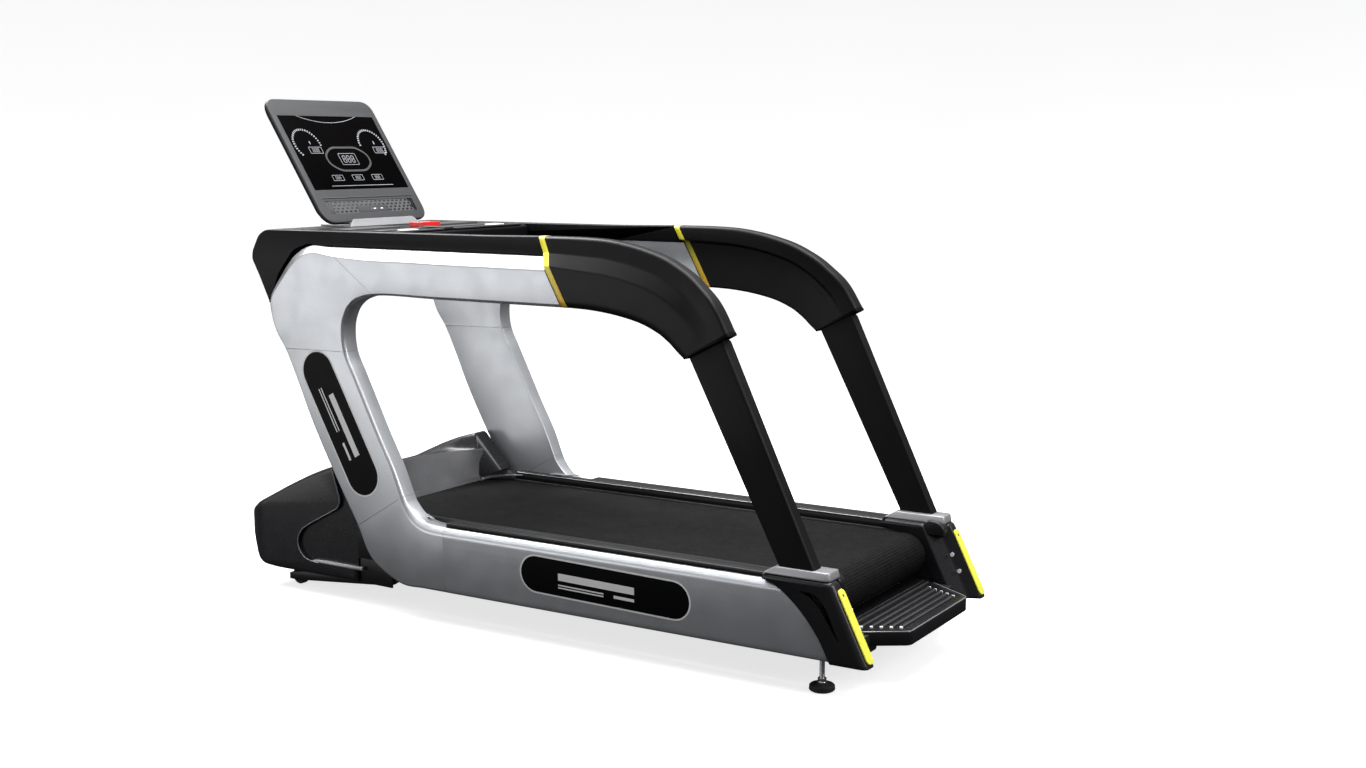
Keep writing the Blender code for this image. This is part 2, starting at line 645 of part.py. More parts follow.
def hood_rear_wall():
    """Textured kick panel between the wings, sloping up from the belt."""
    outline = [(0.6623, 0.2947), (0.7528, 0.4037), (0.8000, 0.3935), (0.8000, 0.3890), (0.7543, 0.3990),
               (0.6648, 0.2932)]
    return extrude("hood_rear_wall", outline, -0.284, 0.284, charcoal())


# Lift frame and its actuator
def lift_frame():
    """Swinging frame that carries the front wheels; its horn is pulled by the actuator."""
    y, z = LIFT_PIVOT
    bar = arc((y, z), 0.0145, 90, 250, 5) + [(WHEEL_Y - 0.025, 0.024), (WHEEL_Y + 0.012, 0.024),
                                             (WHEEL_Y + 0.012, 0.045), (0.935, 0.0560)]
    frame = extrude("lift_frame", bar, LIFT_BAR_X[0], LIFT_BAR_X[1], steel())
    other = extrude("lift_frame_left_tool", bar, -LIFT_BAR_X[1], -LIFT_BAR_X[0], steel())
    cutter(frame, other, "UNION")
    tube = turned("lift_tube_tool", (y, z), [(-0.3395, 0.0125), (0.3395, 0.0125)], steel(), count=16)
    cutter(frame, tube, "UNION")
    join_box(frame, (-0.310, 0.880, 0.0290), (0.310, 0.905, 0.0520))
    tip = (y - HORN_LENGTH * math.sin(HORN_LEAN), z + HORN_LENGTH * math.cos(HORN_LEAN))
    horn = [(y - 0.012, z), (y + 0.012, z), (tip[0] + 0.008, tip[1]), (tip[0] - 0.008, tip[1])]
    cutter(frame, extrude("lift_horn_tool", horn, -0.156, -0.144, steel()), "UNION")
    for side, word in SIDES:
        low, high = mirrored(side, WHEEL_X[0] - 0.002, LIFT_BAR_X[0] + 0.002)
        pin = turned("lift_axle_tool_" + word, (WHEEL_Y, WHEEL_RADIUS), [(low, 0.0055), (high, 0.0055)], steel(),
                     count=12)
        cutter(frame, pin, "UNION")
    return frame


def transport_wheel(side, word):
    """Wheel bored for its axle pin."""
    low, high = mirrored(side, *WHEEL_X)
    centre = (WHEEL_Y, WHEEL_RADIUS)
    loops = [[place("X", x, p) for p in ring_points(centre, r, 24)]
             for x, r in ((low, WHEEL_RADIUS - 0.003), (low + 0.003, WHEEL_RADIUS), (high - 0.003, WHEEL_RADIUS),
                          (high, WHEEL_RADIUS - 0.003))]
    bores = [[place("X", x, p) for p in ring_points(centre, 0.0062, 24)] for x in (low, low + 0.003, high - 0.003, high)]
    return add("transport_wheel_" + word, skin(loops, inner=bores), rubber())


def actuator_height():
    return LIFT_PIVOT[1] + HORN_LENGTH * math.cos(HORN_LEAN) - 0.004


def lift_actuator():
    """Electric actuator that lies along the machine; its tube guides the rod."""
    z = actuator_height()
    body = turned("lift_actuator", (-0.150, z), [(0.6450, 0.0190), (0.8450, 0.0190), (0.8450, 0.0210),
                                                 (0.8640, 0.0210)], bare_metal(), "Y", 20)
    bore = turned("actuator_bore_tool", (-0.150, z), [(0.6300, 0.0105), (0.8300, 0.0105)], charcoal(), "Y", 20)
    return cutter(body, bore)


def actuator_rod():
    z = actuator_height()
    tip_y = LIFT_PIVOT[0] - HORN_LENGTH * math.sin(HORN_LEAN)
    rod = turned("actuator_rod", (-0.150, z), [(tip_y + 0.016, 0.0095), (0.7700, 0.0095)], bare_metal(), "Y", 16)
    for side in (-1, 1):
        inner = -0.150 + side * 0.0075
        outer = -0.150 + side * 0.0125
        low, high = sorted((inner, outer))
        join_box(rod, (low, tip_y - 0.010, z - 0.008), (high, tip_y + 0.022, z + 0.008))
    return rod


def levelling_foot(side, word):
    profile = [(0.0, 0.031), (0.003, FOOT_RADIUS), (0.017, FOOT_RADIUS), (0.022, 0.028), (0.025, 0.012),
               (0.028, 0.0075), (0.149, 0.0075)]
    return turned("levelling_foot_" + word, (side * FOOT_X, FOOT_Y), profile, rubber(), "Z", 24)


def rear_step():
    """Hollow step between the end caps, with ribs across its tread."""
    rear = HALF_LENGTH
    outer = [(-0.3100, -1.0300), (0.3100, -1.0300), (0.2850, -1.0750), (0.2220, -1.1700), (0.1990, 0.004 - rear),
             (0.1900, -rear), (-0.1900, -rear), (-0.1990, 0.004 - rear), (-0.2220, -1.1700), (-0.2850, -1.0750)]
    step = extrude("rear_step", outer, 0.1170, 0.1580, black_plastic(), "Z")
    inside = [(-0.3040, -1.0350), (0.3040, -1.0350), (0.2800, -1.0750), (0.2170, -1.1680), (0.1930, -1.1900),
              (-0.1930, -1.1900), (-0.2170, -1.1680), (-0.2800, -1.0750)]
    cutter(step, extrude("step_cavity_tool", inside, 0.09, 0.1540, charcoal(), "Z"))
    for i in range(5):
        y = -1.070 - i * 0.0233
        half = 0.222 - i * 0.0105
        join_box(step, (-half, y - 0.004, 0.1560), (half, y + 0.004, 0.1610))
    return step


# Console
def console_tray():
    outline = [(0.490, 1.1500), (0.490, 1.1880), (0.505, 1.1950), (0.985, BAND_TOP), (1.000, 1.193), (1.015, 1.168),
               (1.044, 1.128), (1.050, 1.102), (1.021, 1.048), (0.997, 0.994), (0.976, 0.959), (0.950, 0.975),
               (0.960, 1.060), (0.900, 1.120), (0.620, 1.140)]
    tray = extrude("console_tray", outline, -0.3445, 0.3445, black_plastic())
    cut_box(tray, (-0.069, 0.608, 1.1800), (0.069, 0.666, 1.30))
    for side, _ in SIDES:
        low, high = mirrored(side, 0.189, 0.251)
        cut_box(tray, (low, 0.516, 1.1800), (high, 0.558, 1.30))
    return tray


def console_crossbeam():
    """Steel tube that ties the two masts together under the tray."""
    outline = [(0.680, 1.040), (0.750, 1.040), (0.750, 1.100), (0.680, 1.100)]
    bore = [(0.683, 1.043), (0.747, 1.043), (0.747, 1.097), (0.683, 1.097)]
    return extrude("console_crossbeam", outline, -0.3668, 0.3668, steel(), "X", bore)


def stop_key():
    return box("stop_key", (-0.068, 0.609, 1.1850), (0.068, 0.665, 1.2050),
               material("stop_red", (0.75, 0.02, 0.02), 0.4))


def console_key(side, word):
    low, high = mirrored(side, 0.190, 0.250)
    return box("console_key_" + word, (low, 0.517, 1.1850), (high, 0.557, 1.2010),
               material("key_white", (0.80, 0.80, 0.80), 0.4))


def lean_back(made):
    """Stand an object, modelled with its face in the XZ plane, on the leaning console face."""
    made.matrix_world = Matrix.Translation((0, *CONSOLE_BASE)) @ Matrix.Rotation(-CONSOLE_LEAN, 4, "X")
    return made


def face_outline():
    return rounded_rectangle((-CONSOLE_HALF_WIDTH, 0.0), (CONSOLE_HALF_WIDTH, CONSOLE_HEIGHT), CONSOLE_CORNER, 5)


def console_shell():
    """Back shell: thin at its foot, so that it clears the tray, and full in the middle."""
    outline = [(BEZEL_DEPTH + GAP, 0.000), (0.016, 0.000), (0.043, 0.060), (0.050, 0.160), (0.050, 0.330),
               (0.040, 0.450), (0.028, CONSOLE_HEIGHT), (BEZEL_DEPTH + GAP, CONSOLE_HEIGHT)]
    shell = extrude("console_shell", outline, -0.26, 0.26, black_plastic())
    plan = lean_back(extrude("shell_outline_tool", face_outline(), 0.0, 0.08, charcoal(), "Y"))
    cutter(shell, plan, "INTERSECT")
    cavity = [(0.005, 0.040), (0.026, 0.040), (0.038, 0.068), (0.046, 0.160), (0.046, 0.330), (0.036, 0.445),
              (0.005, 0.445)]
    cutter(shell, lean_back(extrude("shell_cavity_tool", cavity, -0.225, 0.225, charcoal())))
    return lean_back(shell)


def console_bezel():
    bezel = extrude("console_bezel", face_outline(), 0.0, BEZEL_DEPTH, charcoal(), "Y")
    half, low, high = SCREEN
    window = [(-half, low), (half, low), (half, high), (-half, high)]
    cutter(bezel, lean_back(extrude("bezel_window_tool", window, -0.01, 0.03, charcoal(), "Y")))
    half, low, high = GRILLE
    recess = [(-half, low), (half, low), (half, high), (-half, high)]
    cutter(bezel, lean_back(extrude("bezel_grille_tool", recess, -0.01, 0.002, charcoal(), "Y")))
    return lean_back(bezel)


def console_insert(name, window, front, back, surface):
    half, low, high = window
    half, low, high = half - GAP, low + GAP, high - GAP
    outline = [(-half, low), (half, low), (half, high), (-half, high)]
    return lean_back(extrude(name, outline, front, back, surface, "Y"))


def console_bracket():
    """Pressed bracket: a foot on the tray, a lip in front of the console and a riser behind it."""
    foot = [(0.826, BAND_TOP + GAP), (0.970, BAND_TOP + GAP), (0.970, 1.2030), (0.840, 1.2030), (0.842, 1.2120),
            (0.836, 1.2120)]
    bracket = extrude("console_bracket", foot, -0.160, 0.160, silver())
    riser = [(0.905, 1.2000), (0.969, 1.2000), (1.055, 1.3900), (1.036, 1.3900), (0.930, 1.2370), (0.915, 1.2200)]
    cutter(bracket, extrude("bracket_riser_tool", riser, -0.060, 0.060, silver()), "UNION")
    return bracket


def build():
    clear_scene()
    for side, word in SIDES:
        for make in (frame_rail, side_panel, lower_corner_cover, upright_cover, upper_corner_cover, arm_cover, mast,
                     rear_leg, handrail_cap, grip, trim_ring, end_cap, bumper_strip, leg_pad, foot_rail,
                     transport_wheel, levelling_foot, console_key):
            make(side, word)
    rear_crossmember()
    deck_board()
    running_belt()
    rear_roller()
    front_roller()
    front_frame()
    drive_motor()
    motor_flywheel()
    drive_belt()
    motor_controller()
    power_inlet()
    motor_hood()
    hood_rear_wall()
    lift_frame()
    lift_actuator()
    actuator_rod()
    rear_step()
    console_tray()
    console_crossbeam()
    stop_key()
    console_shell()
    console_bezel()
    console_insert("screen_glass", SCREEN, 0.002, 0.010, material("screen", (0.01, 0.01, 0.012), 0.1))
    console_bracket()


build()
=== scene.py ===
"""Looks of a commercial treadmill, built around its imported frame."""

import math

import bmesh
import bpy
import numpy as np
from mathutils import Matrix, Vector


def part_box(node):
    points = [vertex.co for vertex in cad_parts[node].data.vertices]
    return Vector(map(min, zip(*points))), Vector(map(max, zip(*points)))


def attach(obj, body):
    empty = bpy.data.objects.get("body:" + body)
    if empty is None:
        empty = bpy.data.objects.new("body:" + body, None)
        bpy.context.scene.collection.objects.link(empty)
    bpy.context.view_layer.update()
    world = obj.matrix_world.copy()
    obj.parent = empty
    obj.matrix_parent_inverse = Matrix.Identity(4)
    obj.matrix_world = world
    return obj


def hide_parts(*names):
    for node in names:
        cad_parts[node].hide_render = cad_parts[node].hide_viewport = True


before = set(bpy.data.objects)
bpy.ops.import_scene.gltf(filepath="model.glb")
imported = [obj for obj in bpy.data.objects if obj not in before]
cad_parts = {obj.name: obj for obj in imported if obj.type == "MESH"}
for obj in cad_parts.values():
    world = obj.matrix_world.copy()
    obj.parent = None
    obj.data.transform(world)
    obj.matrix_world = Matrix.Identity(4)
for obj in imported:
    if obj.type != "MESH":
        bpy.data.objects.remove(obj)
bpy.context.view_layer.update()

SIDES = ((-1, "left"), (1, "right"))

# Driving places, read from the frame
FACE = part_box("side_panel_right")[1].x          # outer face of the silver side frame
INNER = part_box("upright_cover_right")[0].x      # inner face of the silver side frame
CAP_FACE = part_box("end_cap_right")[1].x
PANEL_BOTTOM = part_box("side_panel_right")[0].z
PANEL_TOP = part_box("side_panel_right")[1].z
PANEL_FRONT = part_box("lower_corner_cover_right")[0].y
ARM_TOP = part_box("arm_cover_right")[1].z
ARM_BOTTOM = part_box("arm_cover_right")[0].z
BAND_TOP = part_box("console_tray")[1].z
GRIP_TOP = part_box("grip_right")[1].z
BAND_IN, BAND_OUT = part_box("handrail_cap_right")[0].x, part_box("handrail_cap_right")[1].x
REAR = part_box("rear_step")[0].y
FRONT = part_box("motor_hood")[1].y
HOOD_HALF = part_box("motor_hood")[1].x
JOINT_GAP = 0.0009                              # open line between neighbouring covers
WALL = 0.003                                    # thickness of the silver covers
RING_HALF = 0.010                               # half the width of the trim ring
RING_LEAN = 0.108 / 0.1985                      # forward run of the trim ring for each metre of height
RING_FOOT = -0.216                              # Y of the ring at the bottom of the arm
RING_GAP = 0.0006

# Screen glass and console face
CONSOLE_BASE = Vector((0.0, 0.853, 1.213))
CONSOLE_LEAN = math.radians(33.6)
CONSOLE_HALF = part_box("console_bezel")[1].x
CONSOLE_HEIGHT, CONSOLE_CORNER = 0.486, 0.045
SCREEN_HALF, SCREEN_LOW, SCREEN_HIGH = 0.230, 0.126, 0.419
GRILLE_HALF, GRILLE_LOW, GRILLE_HIGH = 0.215, 0.034, 0.083


# Node materials
def node(tree, kind, **settings):
    """New node with its sockets and properties set."""
    made = tree.nodes.new(kind)
    for key, value in settings.items():
        if key in made.inputs:
            made.inputs[key].default_value = value
        else:
            setattr(made, key, value)
    return made


def principled_of(made):
    return made.node_tree.nodes["Principled BSDF"]


def shader(name, colour, roughness, metallic=0.0, **sockets):
    """Principled material; every even value sits on the shader's own socket."""
    made = bpy.data.materials.new(name)
    made.use_nodes = True
    made.diffuse_color = (*colour, 1.0)
    principled = principled_of(made)
    principled.inputs["Base Color"].default_value = (*colour, 1.0)
    principled.inputs["Roughness"].default_value = roughness
    principled.inputs["Metallic"].default_value = metallic
    for key, value in sockets.items():
        principled.inputs[key.replace("_", " ")].default_value = value
    return made


def feed(tree, target, output="Object"):
    """Give a node the piece's own coordinates in metres, or the world's directions."""
    coordinates = node(tree, "ShaderNodeTexCoord")
    tree.links.new(coordinates.outputs[output], target.inputs["Vector"])


def pattern(made, scale, detail=3.0, stretch=(1.0, 1.0, 1.0)):
    """Noise over the piece, in its own metres."""
    tree = made.node_tree
    mapping = node(tree, "ShaderNodeMapping", Scale=stretch)
    noise = node(tree, "ShaderNodeTexNoise", Scale=scale, Detail=detail)
    feed(tree, mapping)
    tree.links.new(mapping.outputs["Vector"], noise.inputs["Vector"])
    return noise.outputs["Fac"]


def vary_colour(made, factor, dark, light, low=0.35, high=0.65):
    """Base colour that runs from dark to light as a factor goes from low to high."""
    tree = made.node_tree
    ramp = node(tree, "ShaderNodeValToRGB")
    ramp.color_ramp.elements[0].position = low
    ramp.color_ramp.elements[0].color = (*dark, 1.0)
    ramp.color_ramp.elements[1].position = high
    ramp.color_ramp.elements[1].color = (*light, 1.0)
    tree.links.new(factor, ramp.inputs["Fac"])
    tree.links.new(ramp.outputs["Color"], principled_of(made).inputs["Base Color"])


def vary_roughness(made, factor, low, high):
    """Roughness that runs from low to high with a factor."""
    tree = made.node_tree
    spread = node(tree, "ShaderNodeMapRange")
    spread.inputs["From Min"].default_value = 0.3
    spread.inputs["From Max"].default_value = 0.7
    spread.inputs["To Min"].default_value = low
    spread.inputs["To Max"].default_value = high
    tree.links.new(factor, spread.inputs["Value"])
    tree.links.new(spread.outputs["Result"], principled_of(made).inputs["Roughness"])


def relief(made, factor, depth, strength=1.0):
    """Bumps of a depth in metres, shaped by a factor."""
    tree = made.node_tree
    bump = node(tree, "ShaderNodeBump", Strength=strength, Distance=depth)
    tree.links.new(factor, bump.inputs["Height"])
    tree.links.new(bump.outputs["Normal"], principled_of(made).inputs["Normal"])


def tone(colour, factor):
    return tuple(min(1.0, c * factor) for c in colour)


def moulded(name, colour, roughness, grain=900.0, depth=0.00012, spread=0.10, **sockets):
    """Moulded plastic or powder coat: fine grain, faint cloudiness and uneven gloss."""
    made = shader(name, colour, roughness, **sockets)
    vary_colour(made, pattern(made, 9.0, 4.0), tone(colour, 1 - spread), tone(colour, 1 + spread))
    vary_roughness(made, pattern(made, 23.0, 5.0), roughness * 0.96, roughness * 1.05)
    relief(made, pattern(made, grain, 2.0), depth)
    return made


def silver_paint():
    """Metallic silver paint: tiny flakes under a thin clear coat."""
    base = (0.575, 0.595, 0.62)
    made = shader("silver_paint", base, 0.36, 0.74, Coat_Weight=0.30, Coat_Roughness=0.15)
    flakes = node(made.node_tree, "ShaderNodeTexVoronoi", Scale=1400.0)
    feed(made.node_tree, flakes)
    vary_colour(made, flakes.outputs["Color"], tone(base, 0.90), tone(base, 1.10), 0.1, 0.9)
    vary_roughness(made, pattern(made, 14.0, 4.0), 0.31, 0.38)
    relief(made, pattern(made, 620.0, 2.0), 0.00005, 0.35)
    return made


def belt_weave():
    """Running belt: small raised diamonds that two crossed waves make."""
    made = shader("belt_weave", (0.0045, 0.0045, 0.0044), 0.60, Specular_IOR_Level=0.10)
    tree = made.node_tree
    heights = []
    for turn in (1.0, -1.0):
        mapping = node(tree, "ShaderNodeMapping", Scale=(turn, 1.0, 1.0))
        wave = node(tree, "ShaderNodeTexWave", wave_type="BANDS", bands_direction="DIAGONAL", Scale=128.0,
                    Distortion=0.0)
        feed(tree, mapping)
        tree.links.new(mapping.outputs["Vector"], wave.inputs["Vector"])
        heights.append(wave.outputs["Fac"])
    product = node(tree, "ShaderNodeMath", operation="MULTIPLY")
    tree.links.new(heights[0], product.inputs[0])
    tree.links.new(heights[1], product.inputs[1])
    relief(made, product.outputs["Value"], 0.0004, 0.8)
    vary_colour(made, pattern(made, 60.0, 5.0), (0.0025, 0.0025, 0.0025), (0.0065, 0.0065, 0.0063))
    vary_roughness(made, pattern(made, 6.0, 3.0), 0.55, 0.70)
    return made


def pebbled(name, colour, roughness):
    """Leather-like mould texture of small pebbles."""
    made = shader(name, colour, roughness)
    cells = node(made.node_tree, "ShaderNodeTexVoronoi", Scale=420.0)
    feed(made.node_tree, cells)
    relief(made, cells.outputs["Distance"], 0.0004, 0.7)
    vary_colour(made, pattern(made, 12.0, 4.0), tone(colour, 0.85), tone(colour, 1.15))
    return made


def turned_metal(name, colour, roughness):
    """Machined metal with fine marks along the cut."""
    made = shader(name, colour, roughness, 1.0)
    marks = pattern(made, 1.0, 3.0, (900.0, 20.0, 20.0))
    relief(made, marks, 0.00006, 0.5)
    vary_roughness(made, marks, roughness - 0.06, roughness + 0.08)
    vary_colour(made, pattern(made, 7.0, 3.0), tone(colour, 0.9), tone(colour, 1.08))
    return made


def ring_yellow():
    """Yellow moulding whose colour runs from lemon at its top to amber at its foot, darker towards the
    bottom.
    """
    made = shader("ring_yellow", (0.82, 0.75, 0.05), 0.28, Coat_Weight=0.4, Coat_Roughness=0.08)
    tree = made.node_tree
    split = node(tree, "ShaderNodeSeparateXYZ")
    height = node(tree, "ShaderNodeMapRange")
    height.inputs["From Min"].default_value = ARM_BOTTOM
    height.inputs["From Max"].default_value = ARM_TOP
    feed(tree, split)
    tree.links.new(split.outputs["Z"], height.inputs["Value"])
    vary_colour(made, height.outputs["Result"], (0.78, 0.42, 0.04), (0.84, 0.78, 0.05), 0.0, 1.0)
    vary_roughness(made, pattern(made, 40.0, 3.0), 0.22, 0.34)
    relief(made, pattern(made, 700.0, 2.0), 0.00005)
    return made


def wood_board():
    """Dark plywood with its grain along the deck."""
    made = shader("deck_wood", (0.16, 0.10, 0.06), 0.5)
    vary_colour(made, pattern(made, 1.0, 6.0, (60.0, 3.0, 60.0)), (0.11, 0.07, 0.04), (0.22, 0.14, 0.08))
    relief(made, pattern(made, 1.0, 4.0, (300.0, 12.0, 300.0)), 0.0001)
    return made


SILVER = silver_paint()
BAND_BLACK = moulded("band_black", (0.0050, 0.0050, 0.0056), 0.36, 1300.0, 0.00006, Specular_IOR_Level=0.16)
CAP_BLACK = moulded("cap_black", (0.0070, 0.0070, 0.0082), 0.27, 1400.0, 0.00004, Specular_IOR_Level=0.45)
GRIP_BLACK = moulded("grip_black", (0.0050, 0.0050, 0.0054), 0.36, 1500.0, 0.00008, Specular_IOR_Level=0.22)
COLLAR_BLACK = moulded("collar_black", (0.0015, 0.0015, 0.0015), 0.50, 900.0, Specular_IOR_Level=0.12)
LEG_BLACK = moulded("leg_black", (0.0045, 0.0045, 0.0047), 0.42, 700.0, 0.00010, Specular_IOR_Level=0.14)
HOOD_BLACK = moulded("hood_black", (0.0150, 0.0153, 0.0172), 0.27, 500.0, 0.00001, 0.03)
# Deep black for dark parts and cloth; on the console shell's slots and the flywheel's holes it is painted
# shade.
DEEP_BLACK_AND_SHADE = moulded("deep_black_and_shade", (0.005, 0.005, 0.0065), 0.50, 900.0)
STEEL_BLACK = moulded("steel_black", (0.009, 0.009, 0.010), 0.40, 500.0, 0.00015)
RAIL_BLACK = moulded("rail_black", (0.0070, 0.0070, 0.0074), 0.40, 800.0, 0.0001, Specular_IOR_Level=0.30)
RIB_GREY = moulded("rib_grey", (0.030, 0.030, 0.031), 0.36, 900.0, 0.00008)
SHEEN_GREY = moulded("sheen_grey", (0.26, 0.26, 0.27), 0.30, 900.0, 0.00005)
WALL_GREY = pebbled("wall_grey", (0.080, 0.081, 0.086), 0.38)
BELT = belt_weave()
STRIP_YELLOW = moulded("strip_yellow", (0.90, 0.89, 0.09), 0.36, 300.0, 0.0002, 0.04)
RING_YELLOW = ring_yellow()
BEZEL_GREY = moulded("bezel_grey", (0.036, 0.037, 0.039), 0.46, 1200.0, 0.00007, 0.06,
                     Specular_IOR_Level=0.35)
SHELL_BLACK = moulded("shell_black", (0.009, 0.009, 0.010), 0.42, 1000.0)
SCREEN_BLACK = moulded("screen_black", (0.0007, 0.0005, 0.0005), 0.40, 60.0, 0.00001, 0.3,
                       Specular_IOR_Level=0.01)
SCREEN_INK = moulded("screen_ink", (0.34, 0.35, 0.38), 0.5, 900.0, 0.00001, 0.1, Specular_IOR_Level=0.2)
FADED_INK = moulded("faded_ink", (0.055, 0.055, 0.058), 0.5, 900.0, 0.00001, 0.1, Specular_IOR_Level=0.2)
GRILLE_GREY = moulded("grille_grey", (0.075, 0.076, 0.080), 0.42, 1100.0, Specular_IOR_Level=0.35)
PLATE_GREY = moulded("plate_grey", (0.050, 0.051, 0.054), 0.38, 1100.0)
# Pale silver of the leg pads, console bracket and hood ledges; also the painted highlights on the end caps,
# foot rails and step rim.
SILVER_AND_HIGHLIGHT = moulded("bracket_silver", (0.37, 0.37, 0.38), 0.32, 900.0, 0.00005, 0.05, metallic=0.5)
RED = moulded("key_red", (0.74, 0.018, 0.016), 0.30, 900.0, 0.00005, 0.05, Coat_Weight=0.3)
WHITE = moulded("key_white", (0.82, 0.82, 0.82), 0.34, 900.0, 0.00005, 0.03)
PILL_BLACK = moulded("pill_black", (0.0012, 0.0012, 0.0012), 0.40, 800.0, 0.00003, Specular_IOR_Level=0.10)
RUBBER = moulded("rubber", (0.012, 0.012, 0.012), 0.62, 500.0, 0.0002)
CHROME = turned_metal("chrome", (0.78, 0.79, 0.80), 0.12)
TURNED_STEEL = turned_metal("turned_steel", (0.48, 0.49, 0.50), 0.30)
IRON = turned_metal("iron", (0.17, 0.17, 0.175), 0.42)
MOTOR_GREY = moulded("motor_grey", (0.035, 0.035, 0.038), 0.45, 400.0, 0.0002)
WOOD = wood_board()


# Outlines and curves
def rounded(corners, cuts, steps=4):
    """Closed outline with every corner rounded off; a cut is how far from the corner its curve starts."""
    outline = []
    count = len(corners)
    for i, corner in enumerate(corners):
        here = Vector(corner)
        before = Vector(corners[i - 1]) - here
        after = Vector(corners[(i + 1) % count]) - here
        cut = cuts[i] if isinstance(cuts, (list, tuple)) else cuts
        first = here + before.normalized() * min(cut, before.length * 0.45)
        last = here + after.normalized() * min(cut, after.length * 0.45)
        for k in range(steps + 1):
            t = k / steps
            outline.append(tuple(first * (1 - t) ** 2 + here * (2 * t * (1 - t)) + last * t ** 2))
    return outline


def inset(outline, distance):
    """The closed outline moved inwards by a distance."""
    points = np.array(outline, float)
    before, after = np.roll(points, 1, 0), np.roll(points, -1, 0)
    turn = np.sign(np.sum(points[:, 0] * after[:, 1] - after[:, 0] * points[:, 1]))
    normals = []
    for edge in (points - before, after - points):
        length = np.maximum(np.linalg.norm(edge, axis=1), 1e-9)[:, None]
        normals.append(np.stack([-edge[:, 1], edge[:, 0]], 1) / length * turn)
    middle = normals[0] + normals[1]
    middle /= np.maximum(np.linalg.norm(middle, axis=1), 1e-9)[:, None]
    reach = np.maximum(np.sum(middle * normals[0], axis=1), 0.4)
    return points + middle * (distance / reach)[:, None]


def spline(rows):
    """Smooth curve through rows of numbers: their distances along it, and a function of distance."""
    rows = np.array(rows, float)
    steps = np.linalg.norm(np.diff(rows, axis=0), axis=1)
    at = np.concatenate([[0.0], np.cumsum(steps)])
    slope = np.diff(rows, axis=0) / steps[:, None]
    inner = (slope[:-1] * steps[1:, None] + slope[1:] * steps[:-1, None]) / (steps[:-1] + steps[1:])[:, None]
    tangent = np.vstack([slope[:1], inner, slope[-1:]])

    def value(distance):
        i = int(np.clip(np.searchsorted(at, distance) - 1, 0, len(steps) - 1))
        h = steps[i]
        t = (distance - at[i]) / h
        return ((2 * t ** 3 - 3 * t ** 2 + 1) * rows[i] + (t ** 3 - 2 * t ** 2 + t) * h * tangent[i]
                + (3 * t ** 2 - 2 * t ** 3) * rows[i + 1] + (t ** 3 - t ** 2) * h * tangent[i + 1])
    return at, value


def smooth_line(rows, count):
    """Even points on a smooth curve through rows."""
    at, value = spline(rows)
    return [tuple(value(s)) for s in np.linspace(0.0, at[-1], count)]


def place(axis, along, point):
    """3D point from a place along one axis and the two other coordinates, in X, Y, Z order."""
    if axis == "X":
        return (along, point[0], point[1])
    if axis == "Y":
        return (point[0], along, point[1])
    return (point[0], point[1], along)


def circle(centre, radius, count):
    """Points of a circle."""
    angles = [2 * math.pi * k / count for k in range(count)]
    return [(centre[0] + radius * math.cos(a), centre[1] + radius * math.sin(a)) for a in angles]


# Meshes
def add(name, mesh, surface, sharp=35.0):
    """New piece from a finished bmesh, with its normals outward."""
    bmesh.ops.recalc_face_normals(mesh, faces=mesh.faces)
    data = bpy.data.meshes.new(name)
    mesh.to_mesh(data)
    mesh.free()
    return link(name, data, surface, sharp)


def link(name, data, surface, sharp=35.0):
    """New piece from mesh data, smooth but for edges sharper than an angle."""
    data.materials.clear()
    data.materials.append(surface)
    data.shade_smooth()
    data.set_sharp_from_angle(angle=math.radians(sharp))
    piece = bpy.data.objects.new(name, data)
    bpy.context.scene.collection.objects.link(piece)
    return piece


def ring_faces(mesh, one, two):
    """Faces between two rings of vertices."""
    for i in range(len(one)):
        j = (i + 1) % len(one)
        mesh.faces.new((one[i], one[j], two[j], two[i]))


def bridge(mesh, loops):
    """Skin over loops of points; the rings of vertices come back."""
    rings = [[mesh.verts.new(p) for p in loop] for loop in loops]
    for one, two in zip(rings, rings[1:]):
        ring_faces(mesh, one, two)
    return rings


def loft(name, loops, surface, inner=None, sharp=35.0):
    """Skin over loops of equal length; with inner loops it is an open-ended wall, else a closed body."""
    mesh = bmesh.new()
    outer_rings = bridge(mesh, loops)
    if inner is None:
        mesh.faces.new(outer_rings[0])
        mesh.faces.new(outer_rings[-1])
        return add(name, mesh, surface, sharp)
    inner_rings = bridge(mesh, inner)
    ring_faces(mesh, outer_rings[0], inner_rings[0])
    ring_faces(mesh, outer_rings[-1], inner_rings[-1])
    return add(name, mesh, surface, sharp)


def edge_levels(low, high, edge, steps):
    """(level, inset) pairs that round both rims of a plate."""
    turn = [math.pi / 2 * k / steps for k in range(steps + 1)]
    start = [(low + edge * (1 - math.cos(a)), edge * (1 - math.sin(a))) for a in turn]
    end = [(high - edge * (1 - math.cos(a)), edge * (1 - math.sin(a))) for a in reversed(turn)]
    return start + end


def slab(name, outline, axis, low, high, edge, surface, steps=3, sharp=35.0):
    """Plate of an outline, between two levels along an axis, with rounded rims."""
    low, high = sorted((low, high))
    loops = [[place(axis, level, p) for p in inset(outline, depth)]
             for level, depth in edge_levels(low, high, edge, steps)]
    return loft(name, loops, surface, sharp=sharp)


def block(name, low, high, edge, surface, steps=2):
    """Box with rounded edges."""
    low, high = [min(a, b) for a, b in zip(low, high)], [max(a, b) for a, b in zip(low, high)]
    corners = [(low[0], low[1]), (high[0], low[1]), (high[0], high[1]), (low[0], high[1])]
    return slab(name, rounded(corners, edge * 1.2, steps), "Z", low[2], high[2], edge, surface, steps)


def turned(name, centre, profile, surface, axis="X", count=64):
    """Body of revolution; the profile is (place along the axis, radius) from one end to the other."""
    loops = [[place(axis, along, p) for p in circle(centre, radius, count)] for along, radius in profile]
    return loft(name, loops, surface)


